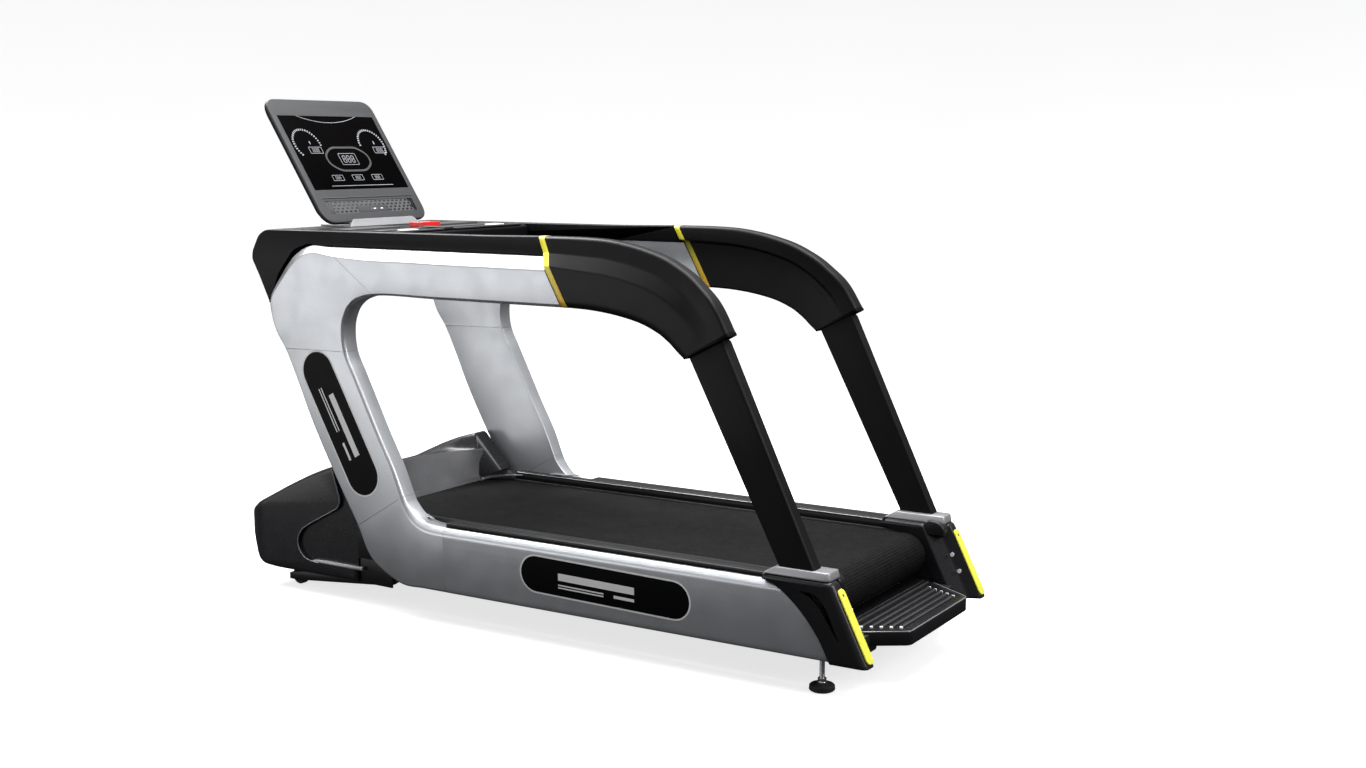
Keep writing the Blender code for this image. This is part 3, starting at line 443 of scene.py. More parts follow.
def bored(name, centre, profile, bore, ends, surface):
    """Body of revolution along X, with a bore that opens at two ends."""
    loops = [[place("X", x, p) for p in circle(centre, radius, 64)] for x, radius in profile]
    hole = [[place("X", x, p) for p in circle(centre, bore, 64)] for x in ends]
    return loft(name, loops, surface, hole)


def tube(name, points, radius, surface):
    """Round wire along points."""
    data = bpy.data.curves.new(name, "CURVE")
    data.dimensions = "3D"
    data.bevel_depth = radius
    data.bevel_resolution = 1
    data.use_fill_caps = True
    line = data.splines.new("POLY")
    line.points.add(len(points) - 1)
    for target, p in zip(line.points, points):
        target.co = (*p, 1.0)
    holder = bpy.data.objects.new(name + "_wire", data)
    bpy.context.scene.collection.objects.link(holder)
    mesh = evaluated(holder)
    bpy.data.objects.remove(holder)
    return link(name, mesh, surface, 60.0)


def evaluated(piece):
    """Mesh of a piece as its modifiers or curve settings make it."""
    bpy.context.view_layer.update()
    return bpy.data.meshes.new_from_object(piece.evaluated_get(bpy.context.evaluated_depsgraph_get()))


def bake(piece, sharp=35.0):
    """Turn a piece's modifiers into its mesh."""
    mesh = evaluated(piece)
    piece.modifiers.clear()
    piece.data = mesh
    mesh.shade_smooth()
    mesh.set_sharp_from_angle(angle=math.radians(sharp))
    return piece


def carve(piece, tool, sharp=35.0):
    """Cut a tool's shape out of a piece, and drop the tool."""
    cut = piece.modifiers.new("carve", "BOOLEAN")
    cut.operation = "DIFFERENCE"
    cut.object = tool
    cut.solver = "EXACT"
    bake(piece, sharp)
    bpy.data.objects.remove(tool)


def join(name, pieces):
    """Merge several pieces with one material into one piece."""
    mesh = bmesh.new()
    for piece in pieces:
        mesh.from_mesh(piece.data)
    first = pieces[0]
    mesh.to_mesh(first.data)
    mesh.free()
    for piece in pieces[1:]:
        bpy.data.objects.remove(piece)
    first.name = name
    return first


def lean_back(piece):
    """Stand a piece, modelled with the console face in the XZ plane, on the leaning console."""
    piece.data.transform(Matrix.Translation(CONSOLE_BASE) @ Matrix.Rotation(-CONSOLE_LEAN, 4, "X"))
    return piece


def refine(name, source, surface, width=0.0012):
    """A CAD piece's shape with its facets merged and its edges rounded."""
    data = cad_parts[source].data.copy()
    mesh = bmesh.new()
    mesh.from_mesh(data)
    bmesh.ops.remove_doubles(mesh, verts=mesh.verts, dist=1e-6)
    bmesh.ops.dissolve_limit(mesh, angle_limit=math.radians(1.0), verts=mesh.verts, edges=mesh.edges)
    mesh.to_mesh(data)
    mesh.free()
    piece = link(name, data, surface)
    soft = piece.modifiers.new("edges", "BEVEL")
    soft.width = width
    soft.segments = 2
    soft.limit_method = "ANGLE"
    soft.angle_limit = math.radians(35.0)
    return bake(piece)


def put(piece, body, slot, *nodes):
    """Ride a finished piece on its body and hide the CAD nodes it stands for; the slot argument is not used.
    """
    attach(piece, body)
    if nodes:
        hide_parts(*nodes)
    return piece


# Silver side frames
TUCK_START, TUCK_DEPTH = 0.275, 0.009


def tuck(x, z):
    """Across place of a silver outer surface, which curves in under itself towards the floor."""
    fall = min(1.0, max(0.0, (TUCK_START - z) / (TUCK_START - PANEL_BOTTOM)))
    share = min(1.0, max(0.0, (x - INNER) / (FACE - INNER)))
    return x - TUCK_DEPTH * fall ** 1.8 * share


FRAME_RUN = [
    # outer edge (Y, Z), window edge (Y, Z), outer bevel (along, in X), window bevel (along, in X)
    ((0.2485, PANEL_BOTTOM), (0.2485, PANEL_TOP), (0.006, 0.006), (0.020, 0.018)),
    ((0.340, PANEL_BOTTOM), (0.306, 0.313), (0.006, 0.006), (0.020, 0.018)),
    ((0.425, 0.106), (0.345, 0.323), (0.006, 0.006), (0.018, 0.016)),
    ((0.498, 0.138), (0.373, 0.342), (0.006, 0.006), (0.015, 0.013)),
    ((0.543, 0.171), (0.392, 0.363), (0.006, 0.006), (0.011, 0.010)),
    ((0.597, 0.274), (0.407, 0.389), (0.006, 0.006), (0.008, 0.008)),
    ((0.645, 0.353), (0.440, 0.466), (0.006, 0.006), (0.007, 0.007)),
    ((0.710, 0.465), (0.497, 0.571), (0.006, 0.006), (0.007, 0.007)),
    ((0.790, 0.615), (0.558, 0.690), (0.006, 0.006), (0.007, 0.007)),
    ((0.838, 0.722), (0.593, 0.758), (0.006, 0.006), (0.007, 0.007)),
    ((0.888, 0.822), (0.626, 0.826), (0.006, 0.006), (0.007, 0.007)),
    ((0.925, 0.877), (0.633, 0.875), (0.006, 0.006), (0.007, 0.007)),
    ((0.945, 0.930), (0.629, 0.918), (0.008, 0.008), (0.007, 0.007)),
    ((0.957, 0.975), (0.616, 0.950), (0.018, 0.016), (0.007, 0.007)),
    ((0.920, 1.050), (0.594, 0.976), (0.034, 0.030), (0.007, 0.007)),
    ((0.855, 1.125), (0.565, 0.993), (0.040, 0.036), (0.007, 0.007)),
    ((0.800, ARM_TOP), (0.535, 1.002), (0.042, 0.036), (0.007, 0.007)),
    ((0.706, ARM_TOP), (0.500, ARM_BOTTOM), (0.050, 0.036), (0.007, 0.007)),
    ((0.350, ARM_TOP), (0.250, ARM_BOTTOM), (0.046, 0.036), (0.007, 0.007)),
    ((-0.125, ARM_TOP), (-0.204, ARM_BOTTOM), (0.046, 0.036), (0.007, 0.007)),
]
COVER_SPANS = (("lower_corner_cover", 0, 5), ("upright_cover", 5, 10), ("upper_corner_cover", 10, 17),
               ("arm_cover", 17, 19))


def cover_loop(row, side, wall):
    """Section across the side frame; row holds the numbers of one FRAME_RUN line."""
    edge, window = Vector(row[0:2]), Vector(row[2:4])
    outer_u, outer_x, window_u, window_x = row[4:8]
    direction = edge - window
    width = direction.length
    direction.normalize()
    corners = [(0.0, INNER), (0.0, FACE - window_x), (window_u, FACE), (width - outer_u, FACE),
               (width, FACE - outer_x), (width, INNER)]
    soft = (0.0025, min(0.007, window_u * 0.6), min(0.008, window_u * 0.7), min(0.0035, outer_u * 0.5),
            min(0.0035, outer_u * 0.5), 0.0025)
    section = rounded(corners, soft, 3)
    if wall:
        section = inset(section, wall)
    loop = []
    for u, x in section:
        point = window + direction * u
        loop.append((side * tuck(x, point.y), point.x, point.y))
    return loop


def silver_covers(side, word):
    """Four covers cut from one smooth run, with open joint lines between them."""
    rows = [[*edge, *window, *bevel, *window_bevel] for edge, window, bevel, window_bevel in FRAME_RUN]
    at, value = spline(rows)
    for name, first, last in COVER_SPANS:
        start = at[first] + JOINT_GAP
        end = at[last] - JOINT_GAP
        count = max(10, int((end - start) / 0.012))
        steps = [value(s) for s in np.linspace(start, end, count)]
        loops = [cover_loop(row, side, 0.0) for row in steps]
        inner = [cover_loop(row, side, WALL) for row in steps]
        piece = loft(f"{name}_skin_{word}", loops, SILVER, inner)
        put(piece, "frame", "frame_silver", f"{name}_{word}")


CAP_EDGE = [(-0.857, 0.3105), (-0.968, 0.288), (-1.071, 0.100)]     # front edge of the end cap, as a curve


def cap_edge(t):
    a, b, c = (Vector(p) for p in CAP_EDGE)
    return a * (1 - t) ** 2 + b * (2 * t * (1 - t)) + c * t ** 2


def cap_edge_at(z):
    """Y of the end cap's front edge at a height."""
    low, high = 0.0, 1.0
    for _ in range(30):
        middle = (low + high) / 2
        if cap_edge(middle).y > z:
            low = middle
        else:
            high = middle
    return cap_edge((low + high) / 2).x


def side_panel(side, word):
    """Long silver panel with a bright bevel along its top and a curved rear end."""
    levels = np.linspace(PANEL_BOTTOM, TUCK_START, 9)
    corners = [(tuck(FACE, z), z) for z in levels]
    corners += [(FACE, 0.290), (0.410, PANEL_TOP), (0.381, PANEL_TOP), (0.381, 0.3065), (0.4085, 0.3065),
                (FACE - 0.004, 0.2885)]
    corners += [(tuck(FACE - 0.004, z), z) for z in reversed(levels[1:])]
    corners += [(0.396, 0.109), (0.396, PANEL_BOTTOM)]
    cuts = [0.008] + [0.004] * 8 + [0.007, 0.006, 0.001, 0.001, 0.002, 0.003] + [0.003] * 8 + [0.001, 0.001]
    section = rounded(corners, cuts, 3)
    front = PANEL_FRONT - JOINT_GAP * 0.6
    loops = []
    for t in np.linspace(0.0, 1.0, 30):
        loop = []
        for x, z in section:
            rear = cap_edge_at(min(z, CAP_EDGE[0][1] - 0.0004))
            loop.append((side * x, rear + (front - rear) * t, z))
        loops.append(loop)
    piece = loft("side_panel_skin_" + word, loops, SILVER)
    put(piece, "frame", "frame_silver", "side_panel_" + word)


def film_stations(length, half, round_ends):
    """Reach of a film to each side, at steps along it."""
    middle = [(length * k / 12, half) for k in range(13)]
    if not round_ends:
        return middle
    turns = [math.pi / 2 * k / 10 for k in range(10)]
    head = [(-half * math.cos(a), max(half * math.sin(a), 0.0004)) for a in turns]
    tail = [(length - along, reach) for along, reach in reversed(head)]
    return head + middle + tail


def film(name, side, line, half, lift, surface, round_ends=True):
    """Thin film that follows the outer face, reaching half to each side of a line."""
    start, end = line
    direction = (end - start).normalized()
    across = Vector((-direction.y, direction.x))
    stations = film_stations((end - start).length, half, round_ends)
    mesh = bmesh.new()
    layers = []
    for level in (lift, lift - 0.00015):
        grid = []
        for along, reach in stations:
            points = [start + direction * along + across * (reach * (j / 5 - 1)) for j in range(11)]
            grid.append([mesh.verts.new((side * (tuck(FACE, p.y) + level), p.x, p.y)) for p in points])
        layers.append(grid)
        for near, far in zip(grid, grid[1:]):
            for j in range(10):
                mesh.faces.new((near[j], near[j + 1], far[j + 1], far[j]))
    front, back = layers
    last = len(stations) - 1
    edge = [(i, 0) for i in range(last)] + [(last, j) for j in range(10)]
    edge += [(i, 10) for i in range(last, 0, -1)] + [(0, j) for j in range(10, 0, -1)]
    for (i, j), (m, n) in zip(edge, edge[1:] + edge[:1]):
        mesh.faces.new((front[i][j], front[m][n], back[m][n], back[i][j]))
    return add(name, mesh, surface)


def pill(name, side, start, end, half, slots):
    """Plain label: a white-edged black pill with stripes, lying on the outer face."""
    start, end = Vector(start), Vector(end)
    direction = (end - start).normalized()
    across = Vector((-direction.y, direction.x))
    put(film(name + "_rim", side, (start, end), half, 0.0002, WHITE), "frame", "key_white")
    put(film(name + "_field", side, (start, end), half - 0.005, 0.0003, PILL_BLACK), "frame", "black_plastic")
    stripes = []
    for number, (first, last, offset, width) in enumerate(slots):
        line = [start + direction * along + across * offset for along in (first, last)]
        stripes.append(film(f"{name}_stripe_{number}", side, line, width, 0.0004, WHITE, False))
    put(join(name + "_stripe_0", stripes), "frame", "key_white")


def labels(side, word):
    """The two plain pill labels of one side: on the upright and on the long panel."""
    upright = ((0.050, 0.200, 0.026, 0.0020), (0.050, 0.200, 0.016, 0.0020), (0.085, 0.300, -0.012, 0.0110),
               (0.240, 0.300, 0.021, 0.0045))
    pill("upright_label_" + word, side, (0.7431, 0.7560), (0.5680, 0.4400), 0.068, upright)
    panel = ((0.080, 0.345, -0.004, 0.0110), (0.080, 0.240, 0.021, 0.0020), (0.080, 0.240, 0.029, 0.0020),
             (0.275, 0.345, 0.024, 0.0045))
    pill("panel_label_" + word, side, (-0.1020, 0.2160), (-0.5760, 0.2060), 0.059, panel)


# Black handrail band, grips and trim rings
def ring_y(z, offset):
    """Y of the trim ring's leaning middle plane at a height, moved forward by an offset."""
    return RING_FOOT + (z - ARM_BOTTOM) * RING_LEAN + offset


def handrail_band(side, word):
    """Black band on top of the arm that turns down over the front corner."""
    rear = RING_HALF + RING_GAP
    corners = [(ring_y(ARM_TOP + 0.001, rear), ARM_TOP + 0.001), (ring_y(GRIP_TOP, rear), GRIP_TOP),
               (0.100, 1.2015), (0.985, BAND_TOP), (1.018, 1.178), (1.047, 1.126), (1.050, 1.100),
               (1.020, 1.047), (0.976, 0.959), (0.966, 0.979), (0.9285, 1.0555), (0.8615, 1.1325),
               (0.802, ARM_TOP + 0.001)]
    cuts = (0.0005, 0.0005, 0.050, 0.022, 0.014, 0.010, 0.010, 0.012, 0.003, 0.010, 0.012, 0.020, 0.012)
    outline = rounded(corners, cuts, 5)
    band = slab("handrail_band_" + word, outline, "X", side * BAND_IN, side * BAND_OUT, 0.0045, BAND_BLACK, 4)
    lean = 0.465                # how far the band's outer side leans in, for each metre of height
    for vertex in band.data.vertices:
        x, y, z = vertex.co
        if abs(x) > (BAND_IN + BAND_OUT) / 2 and z > ARM_TOP:
            shift = (z - ARM_TOP) * lean * min(1.0, max(0.0, (0.90 - y) / 0.2))
            vertex.co.x = side * max(abs(x) - shift, BAND_IN + 0.02)
    put(band, "frame", "black_plastic", "handrail_cap_" + word)


def grip_loop(row, side, depth):
    """Section of the grip, from its lower inner corner round its outer face to its top."""
    top, bottom, blend = Vector(row[0:2]), Vector(row[2:4]), row[4]
    direction = top - bottom
    width = direction.length
    direction.normalize()
    crease = width - 0.052
    corners = [(0.0, 0.3690), (0.0, 0.4230), (0.016, FACE), (crease - 0.042, FACE),
               (crease, 0.400 + 0.027 * blend), (width - 0.006, 0.391 + 0.035 * blend),
               (width, 0.383 + 0.038 * blend), (width, 0.352 + 0.024 * blend),
               (width - 0.008, 0.345 + 0.025 * blend), (crease, 0.345 + 0.0245 * blend),
               (crease - 0.006, 0.3690)]
    cuts = (0.007, 0.006, 0.010, 0.0035 + 0.010 * blend, 0.0035 + 0.010 * blend, 0.005, 0.006, 0.006, 0.006,
            0.004, 0.004)
    section = rounded(corners, cuts, 3)
    if depth:
        section = inset(section, depth)
    loop = []
    for u, x in section:
        point = bottom + direction * u
        loop.append((side * x, point.x, point.y))
    return loop


def grip_rows():
    """Stations of the grip: its top (Y, Z), its bottom (Y, Z), and how far its crease has closed."""
    rear = -(RING_HALF + RING_GAP)
    return [
        (ring_y(GRIP_TOP, rear), GRIP_TOP, ring_y(ARM_BOTTOM, rear), ARM_BOTTOM, 0.0),
        (-0.250, 1.2055, -0.292, 1.0045, 0.0),
        (-0.325, 1.2025, -0.334, 1.0010, 0.0),
        (-0.400, 1.1925, -0.380, 0.9950, 0.05),
        (-0.500, 1.1690, -0.450, 0.9810, 0.15),
        (-0.587, 1.1315, -0.515, 0.9570, 0.35),
        (-0.652, 1.0860, -0.558, 0.9300, 0.60),
        (-0.710, 1.0270, -0.590, 0.9020, 0.85),
        (-0.751, 0.9570, -0.610, 0.8860, 1.0),
    ]


COLLAR = 0.024                                  # length of the collar at the grip's mouth


def grip(side, word):
    """Curved handrail grip, and the black collar at its mouth."""
    at, value = spline(grip_rows())
    end = at[-1] - COLLAR
    rows = [value(s) for s in np.linspace(0.0, end, 64)]
    loops = [grip_loop(row, side, 0.0) for row in rows]
    inner = [grip_loop(row, side, 0.004) for row in rows]
    piece = loft("grip_skin_" + word, loops, GRIP_BLACK, inner, sharp=50.0)
    put(piece, "frame", "grip_black", "grip_" + word)
    lip = ((end + 0.0004, 0.0012), (end + 0.0020, -0.0009), (at[-1] - 0.004, -0.0009), (at[-1] - 0.001, 0.0),
           (at[-1], 0.003))
    rows = [(value(s), depth) for s, depth in lip]
    loops = [grip_loop(row, side, depth) for row, depth in rows]
    inner = [grip_loop(row, side, 0.006) for row, _ in rows]
    put(loft("grip_collar_" + word, loops, COLLAR_BLACK, inner), "frame", "grip_black")


def trim_ring(side, word):
    """Yellow ring between the silver arm and the grip."""
    rows = []
    for offset, depth in ((RING_HALF, 0.0006), (RING_HALF - 0.002, -0.0004), (-RING_HALF + 0.002, -0.0004),
                          (-RING_HALF, 0.0006)):
        rows.append(((ring_y(GRIP_TOP, offset), GRIP_TOP, ring_y(ARM_BOTTOM, offset), ARM_BOTTOM, 0.0),
                     depth))
    loops = [grip_loop(row, side, depth) for row, depth in rows]
    inner = [grip_loop(row, side, 0.005) for row, _ in rows]
    put(loft("trim_ring_skin_" + word, loops, RING_YELLOW, inner), "frame", "trim_yellow",
        "trim_ring_" + word)


# Rear legs and their pads
def rear_leg(side, word):
    """Flat steel tube with rounded edges, bent forward inside the grip."""
    stations = [
        (-0.905, 0.3485, -1.012, 0.3485, 0.3745, 0.4190),
        (-0.765, 0.6182, -0.8725, 0.6435, 0.3745, 0.4190),
        (-0.625, 0.8880, -0.733, 0.9385, 0.3745, 0.4190),
        (-0.600, 0.930, -0.680, 0.990, 0.3760, 0.3950),
        (-0.560, 0.975, -0.610, 1.045, 0.3760, 0.3920),
        (-0.480, 1.015, -0.510, 1.100, 0.3760, 0.3900),
        (-0.380, 1.040, -0.385, 1.120, 0.3760, 0.3900),
        (-0.170, 1.055, -0.170, 1.125, 0.3760, 0.3900),
    ]
    loops = []
    for front_y, front_z, rear_y, rear_z, near, far in stations:
        front, rear = Vector((front_y, front_z)), Vector((rear_y, rear_z))
        width = (rear - front).length
        soft = min(0.010, (far - near) * 0.3)
        corners = [(0.0, near), (0.0, far), (width, far), (width, near)]
        loop = []
        for u, x in rounded(corners, (0.004, 0.005, soft, 0.004), 4):
            point = front.lerp(rear, u / width)
            loop.append((side * x, point.x, point.y))
        loops.append(loop)
    put(loft("rear_leg_skin_" + word, loops, LEG_BLACK), "frame", "leg_black", "rear_leg_" + word)


def leg_pad(side, word):
    """Bright cast foot of the rear leg."""
    low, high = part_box("leg_pad_" + word)
    near, far = sorted((abs(low.x), abs(high.x)))
    corners = [(near, low.y), (far, low.y), (far, high.y), (near, high.y)]
    outline = np.array(rounded(corners, (0.012, 0.020, 0.006, 0.006), 5))
    loops = []
    for z, front, depth in ((low.z, 0.0, 0.001), (low.z + 0.0015, 0.0, 0.0), (low.z + 0.005, 0.002, 0.0006),
                            (high.z - 0.003, 0.028, 0.0045), (high.z - 0.001, 0.031, 0.006),
                            (high.z, 0.034, 0.009)):
        ring = inset(outline, depth)
        loop = []
        for x, y in ring:
            share = (y - low.y) / (high.y - low.y)
            loop.append((side * x, y - front * share, z))
        loops.append(loop)
    piece = loft("leg_pad_skin_" + word, loops, SILVER_AND_HIGHLIGHT, sharp=45.0)
    put(piece, "frame", "bracket_silver", "leg_pad_" + word)


# End caps
CAP_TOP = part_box("end_cap_right")[1].z
CAP_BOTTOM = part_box("end_cap_right")[0].z
CAP_BACK_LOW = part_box("end_cap_right")[0].y
CAP_SLOPE = (1.1748 - 1.0655) / (0.3245 - 0.103)        # run of the slanted back for each metre of height


def cap_back(z):
    """Y of the end cap's slanted back at a height."""
    return CAP_BACK_LOW + (z - CAP_BOTTOM) * CAP_SLOPE


def cap_plan(z, side, depth):
    """Plan section of the end cap: curved front edge, round outer rear corner, slanted inner side."""
    front = cap_edge_at(min(z, CAP_EDGE[0][1] - 0.0004)) - 0.0012
    back = cap_back(z)
    front = max(front, back + 0.11)
    corners = [(0.3305, front), (0.3305, back + 0.072), (0.3675, back + 0.034), (0.3815, back),
               (CAP_FACE, back), (CAP_FACE, front)]
    outline = rounded(corners, (0.001, 0.004, 0.006, 0.005, 0.026, 0.0015), 6)
    if depth:
        outline = inset(outline, depth)
    return [(side * x, y, z) for x, y in outline]


def end_cap(side, word):
    """Glossy black cap over the rear end of a side frame."""
    radius = 0.012
    levels = [(CAP_BOTTOM + 0.004 * (1 - math.cos(a)), 0.004 * (1 - math.sin(a)))
              for a in np.linspace(0, math.pi / 2, 4)]
    levels += [(z, 0.0) for z in np.linspace(CAP_BOTTOM + 0.012, CAP_TOP - radius - 0.002, 16)]
    levels += [(CAP_TOP - radius * (1 - math.cos(a)), radius * (1 - math.sin(a)))
               for a in np.linspace(math.pi / 2, 0, 7)]
    loops = [cap_plan(z, side, depth) for z, depth in levels]
    cap = loft("end_cap_skin_" + word, loops, CAP_BLACK, sharp=45.0)
    put(cap, "frame", "black_plastic", "end_cap_" + word)


def cap_horn(side, word):
    """Raised shoulder of the cap beside the leg's foot, and the silver tab at the panel's far end."""
    profile = [(-0.998, 0.290), (-0.998, 0.326), (-1.012, 0.337), (-1.046, 0.335), (-1.066, 0.318),
               (-1.068, 0.290)]
    outline = rounded(profile, (0.004, 0.008, 0.012, 0.012, 0.010, 0.004), 4)
    horn = slab("cap_horn_" + word, outline, "X", side * 0.3350, side * 0.3700, 0.005, CAP_BLACK, 4)
    put(horn, "frame", "black_plastic")
    plan = [(0.3500, 0.4120), (0.3660, 0.4120), (0.3900, 0.3180), (0.3930, 0.3080), (0.3560, 0.3640)]
    outline = rounded([(side * x, y) for x, y in plan], (0.002, 0.002, 0.002, 0.002, 0.004), 3)
    tab = slab("corner_tab_" + word, outline, "Z", 0.3245, 0.3275, 0.0008, SILVER)
    put(tab, "frame", "frame_silver")


def cap_highlights_and_screws(side, word):
    """Painted highlights of the moulding that frames the cap's outer face: a pale line along its edge and a
    bright patch on its bevel; and two white screws.
    """
    line = smooth_line([(-0.862, 0.2895), (-0.930, 0.2895), (-0.978, 0.2885), (-1.010, 0.2750),
                        (-1.036, 0.2480), (-1.072, 0.1945), (-1.106, 0.1500), (-1.138, 0.1060)], 40)
    # Pale wire on the outer face: a painted highlight of the moulding's edge.
    wire = [(side * (CAP_FACE - 0.0011), y, z) for y, z in line]
    put(tube("cap_edge_highlight_" + word, wire, 0.0011, SILVER_AND_HIGHLIGHT), "frame", "bracket_silver")
    # Bright silver patch beside the wire: a painted highlight on the moulding's bevel.
    bevel = []
    for k, (y, z) in enumerate(line[12:32]):
        width = 0.0001 + 0.0190 * math.sin(math.pi * min(1.0, (k + 0.4) / 20) ** 0.55)
        bevel.append((y - width * 0.80, z + width * 0.42))
    outline = [tuple(p) for p in line[12:32]] + list(reversed(bevel))
    faces = [[(side * x, y, z) for y, z in outline] for x in (CAP_FACE - 0.0015, CAP_FACE)]
    highlight_patch = loft("cap_bevel_highlight_" + word, faces, SILVER_AND_HIGHLIGHT)
    put(highlight_patch, "frame", "bracket_silver")
    head = [(0.3500, 0.0062), (0.3535, 0.0060), (0.3550, 0.0040)]
    for y, z in ((-1.089, 0.237), (-1.113, 0.189)):
        screw = turned(f"cap_screw_{word}_{int(z * 1000)}", (y, z), head, WHITE, "X", 24)
        if side < 0:
            screw.data.transform(Matrix.Scale(-1.0, 4, (1.0, 0.0, 0.0)))
            screw.data.flip_normals()
        put(screw, "frame", "key_white")


def bumper_strip(side, word):
    """Yellow strip with round ends, let into the slanted back, with a screw near its top."""
    lean = math.atan(CAP_SLOPE)
    half, length = 0.0175, 0.212
    corners = [(-half, -length / 2), (half, -length / 2), (half, length / 2), (-half, length / 2)]
    outline = rounded(corners, half * 0.999, 8)
    centre = Vector((side * 0.398, cap_back(0.208) - 0.0003, 0.208))
    turn = Matrix.Rotation(-lean, 4, "X")
    strip = slab("bumper_strip_skin_" + word, outline, "Y", -0.0050, 0.0, 0.0018, STRIP_YELLOW, 4)
    strip.data.transform(Matrix.Translation(centre) @ turn)
    put(strip, "frame", "trim_yellow", "bumper_strip_" + word)
    screw = turned("bumper_screw_" + word, (0.0, 0.088),
                   [(-0.0056, 0.0030), (-0.0053, 0.0042), (-0.0040, 0.0044)], IRON, "Y", 24)
    screw.data.transform(Matrix.Translation(centre) @ turn)
    put(screw, "frame", "chrome")


# Motor hood and kick wall
HOOD_CORNER = 0.135
WING = [(0.585, 0.330), (0.700, 0.455), (0.779, 0.432), (0.861, 0.400), (0.962, 0.353), (1.040, 0.313),
        (1.090, 0.288), (1.143, 0.256), (1.180, 0.234), (1.200, 0.211), (1.184, 0.184), (1.157, 0.158),
        (1.136, 0.124), (1.115, 0.090), (1.083, 0.071), (1.030, 0.067), (0.665, 0.067), (0.665, 0.330)]
MIDDLE_START = [(0.668, 0.292), (0.757, 0.3985), (0.805, 0.3880), (0.868, 0.3735), (0.962, 0.3515)]
MIDDLE = MIDDLE_START + WING[5:17] + [(0.672, 0.290)]
HOOD_CUTS = (0.006, 0.012, 0.030, 0.030, 0.030, 0.020, 0.020, 0.020, 0.012, 0.014, 0.014, 0.014, 0.018, 0.018,
             0.016, 0.020, 0.003, 0.003)
VALLEY = (0.262, 0.300)          # where the low middle turns up into a wing
HOOD_EDGE = 0.013
WALL_FOOT, WALL_HEAD = 0.6620, 0.7560
WALL_LOW, WALL_HIGH = 0.2925, 0.4035
WALL_HALF, WALL_BOW = 0.284, 1.25


def wall_head(x):
    """Y of the kick wall's top edge, which is bowed towards the front."""
    return WALL_HEAD - WALL_BOW * min(abs(x), WALL_HALF) ** 2


def hood_front(x, margin=0.0):
    """Y of the hood's front in plan, round at both corners."""
    reach = abs(x) - (HOOD_HALF - HOOD_CORNER)
    if reach <= 0:
        return FRONT - margin
    radius = HOOD_CORNER - margin
    return FRONT - HOOD_CORNER + math.sqrt(max(radius ** 2 - reach ** 2, 0.0))


def soft_limit(y, limit):
    """The smaller of two values, with a soft change between them."""
    blend = 0.02
    h = max(blend - abs(y - limit), 0.0) / blend
    return min(y, limit) - h * h * blend / 4


def hood_loop(x, depth):
    """Section of the hood at a place across it: a wing, the low middle or something between."""
    share = min(1.0, max(0.0, (abs(x) - VALLEY[0]) / (VALLEY[1] - VALLEY[0])))
    share = share * share * (3 - 2 * share)
    profile = []
    for index, (wing, middle) in enumerate(zip(WING, MIDDLE)):
        low = Vector(middle)
        if index == 1:
            low.x = wall_head(x) + 0.003
        point = low.lerp(Vector(wing), share)
        profile.append((point.x, point.y))
    outline = rounded([tuple(p) for p in inset(profile, depth)], HOOD_CUTS, 4)
    front = hood_front(x) - depth * 0.3
    return [(x, soft_limit(y, front) if y > 0.9 else y, z) for y, z in outline]


def hood_stations():
    """Places across the hood, each with how far its section is drawn in."""
    rim = [(HOOD_HALF - HOOD_EDGE * (1 - math.sin(a)), HOOD_EDGE * (1 - math.cos(a)))
           for a in np.linspace(math.pi / 2, 0.0, 7)]
    inner = [(x, 0.0) for x in (0.344, 0.336, 0.328, 0.320, 0.312, 0.305, 0.300, 0.295, 0.290, 0.286, 0.282,
                                0.278, 0.274, 0.270, 0.266, 0.262, 0.250, 0.230, 0.200, 0.160, 0.110, 0.055)]
    half = rim + inner
    return half + [(0.0, 0.0)] + [(-x, d) for x, d in reversed(half)]


def hood_cavity():
    """Tool that hollows the hood out from underneath."""
    profile = [(0.60, 0.040), (0.60, 0.280), (0.674, 0.280), (0.762, 0.384), (0.960, 0.340), (1.036, 0.302),
               (1.086, 0.277), (1.138, 0.246), (1.170, 0.227), (1.186, 0.209), (1.172, 0.188), (1.146, 0.160),
               (1.125, 0.127), (1.105, 0.097), (1.080, 0.080), (1.060, 0.040)]
    xs = [0.350, 0.340, 0.325, 0.305, 0.280, 0.250, 0.0]
    loops = []
    for x in xs + [-x for x in reversed(xs[:-1])]:
        loops.append([(x, min(y, hood_front(x, 0.006)) if y > 0.9 else y, z) for y, z in profile])
    return loft("hood_cavity", loops, HOOD_BLACK)


def hood_flank(hood, side, word, outline):
    """Recess in one flank of the hood, with a pale line round its edge, a painted highlight, and its ledge.
    """
    tool = loft("hood_recess", [[(side * x, *p) for p in outline] for x in (0.3535, 0.3900)], HOOD_BLACK)
    carve(hood, tool, 40.0)
    # Pale wire along the recess edge: a painted highlight of the rounded rim.
    line = [(side * 0.3650, y, z) for y, z in inset(outline, -0.0004)[5:-10] if z < 0.432]
    put(tube("hood_recess_highlight_" + word, line, 0.0018, SHEEN_GREY), "frame", "bracket_silver")
    ledge = [(0.640, 0.1080), (0.838, 0.1085), (0.866, 0.1110), (0.846, 0.1185), (0.780, 0.1200),
             (0.640, 0.1190)]
    piece = slab("hood_ledge_" + word, rounded(ledge, 0.002, 3), "X", side * 0.3540, side * 0.3640, 0.001,
                 SILVER_AND_HIGHLIGHT)
    put(piece, "frame", "bracket_silver")


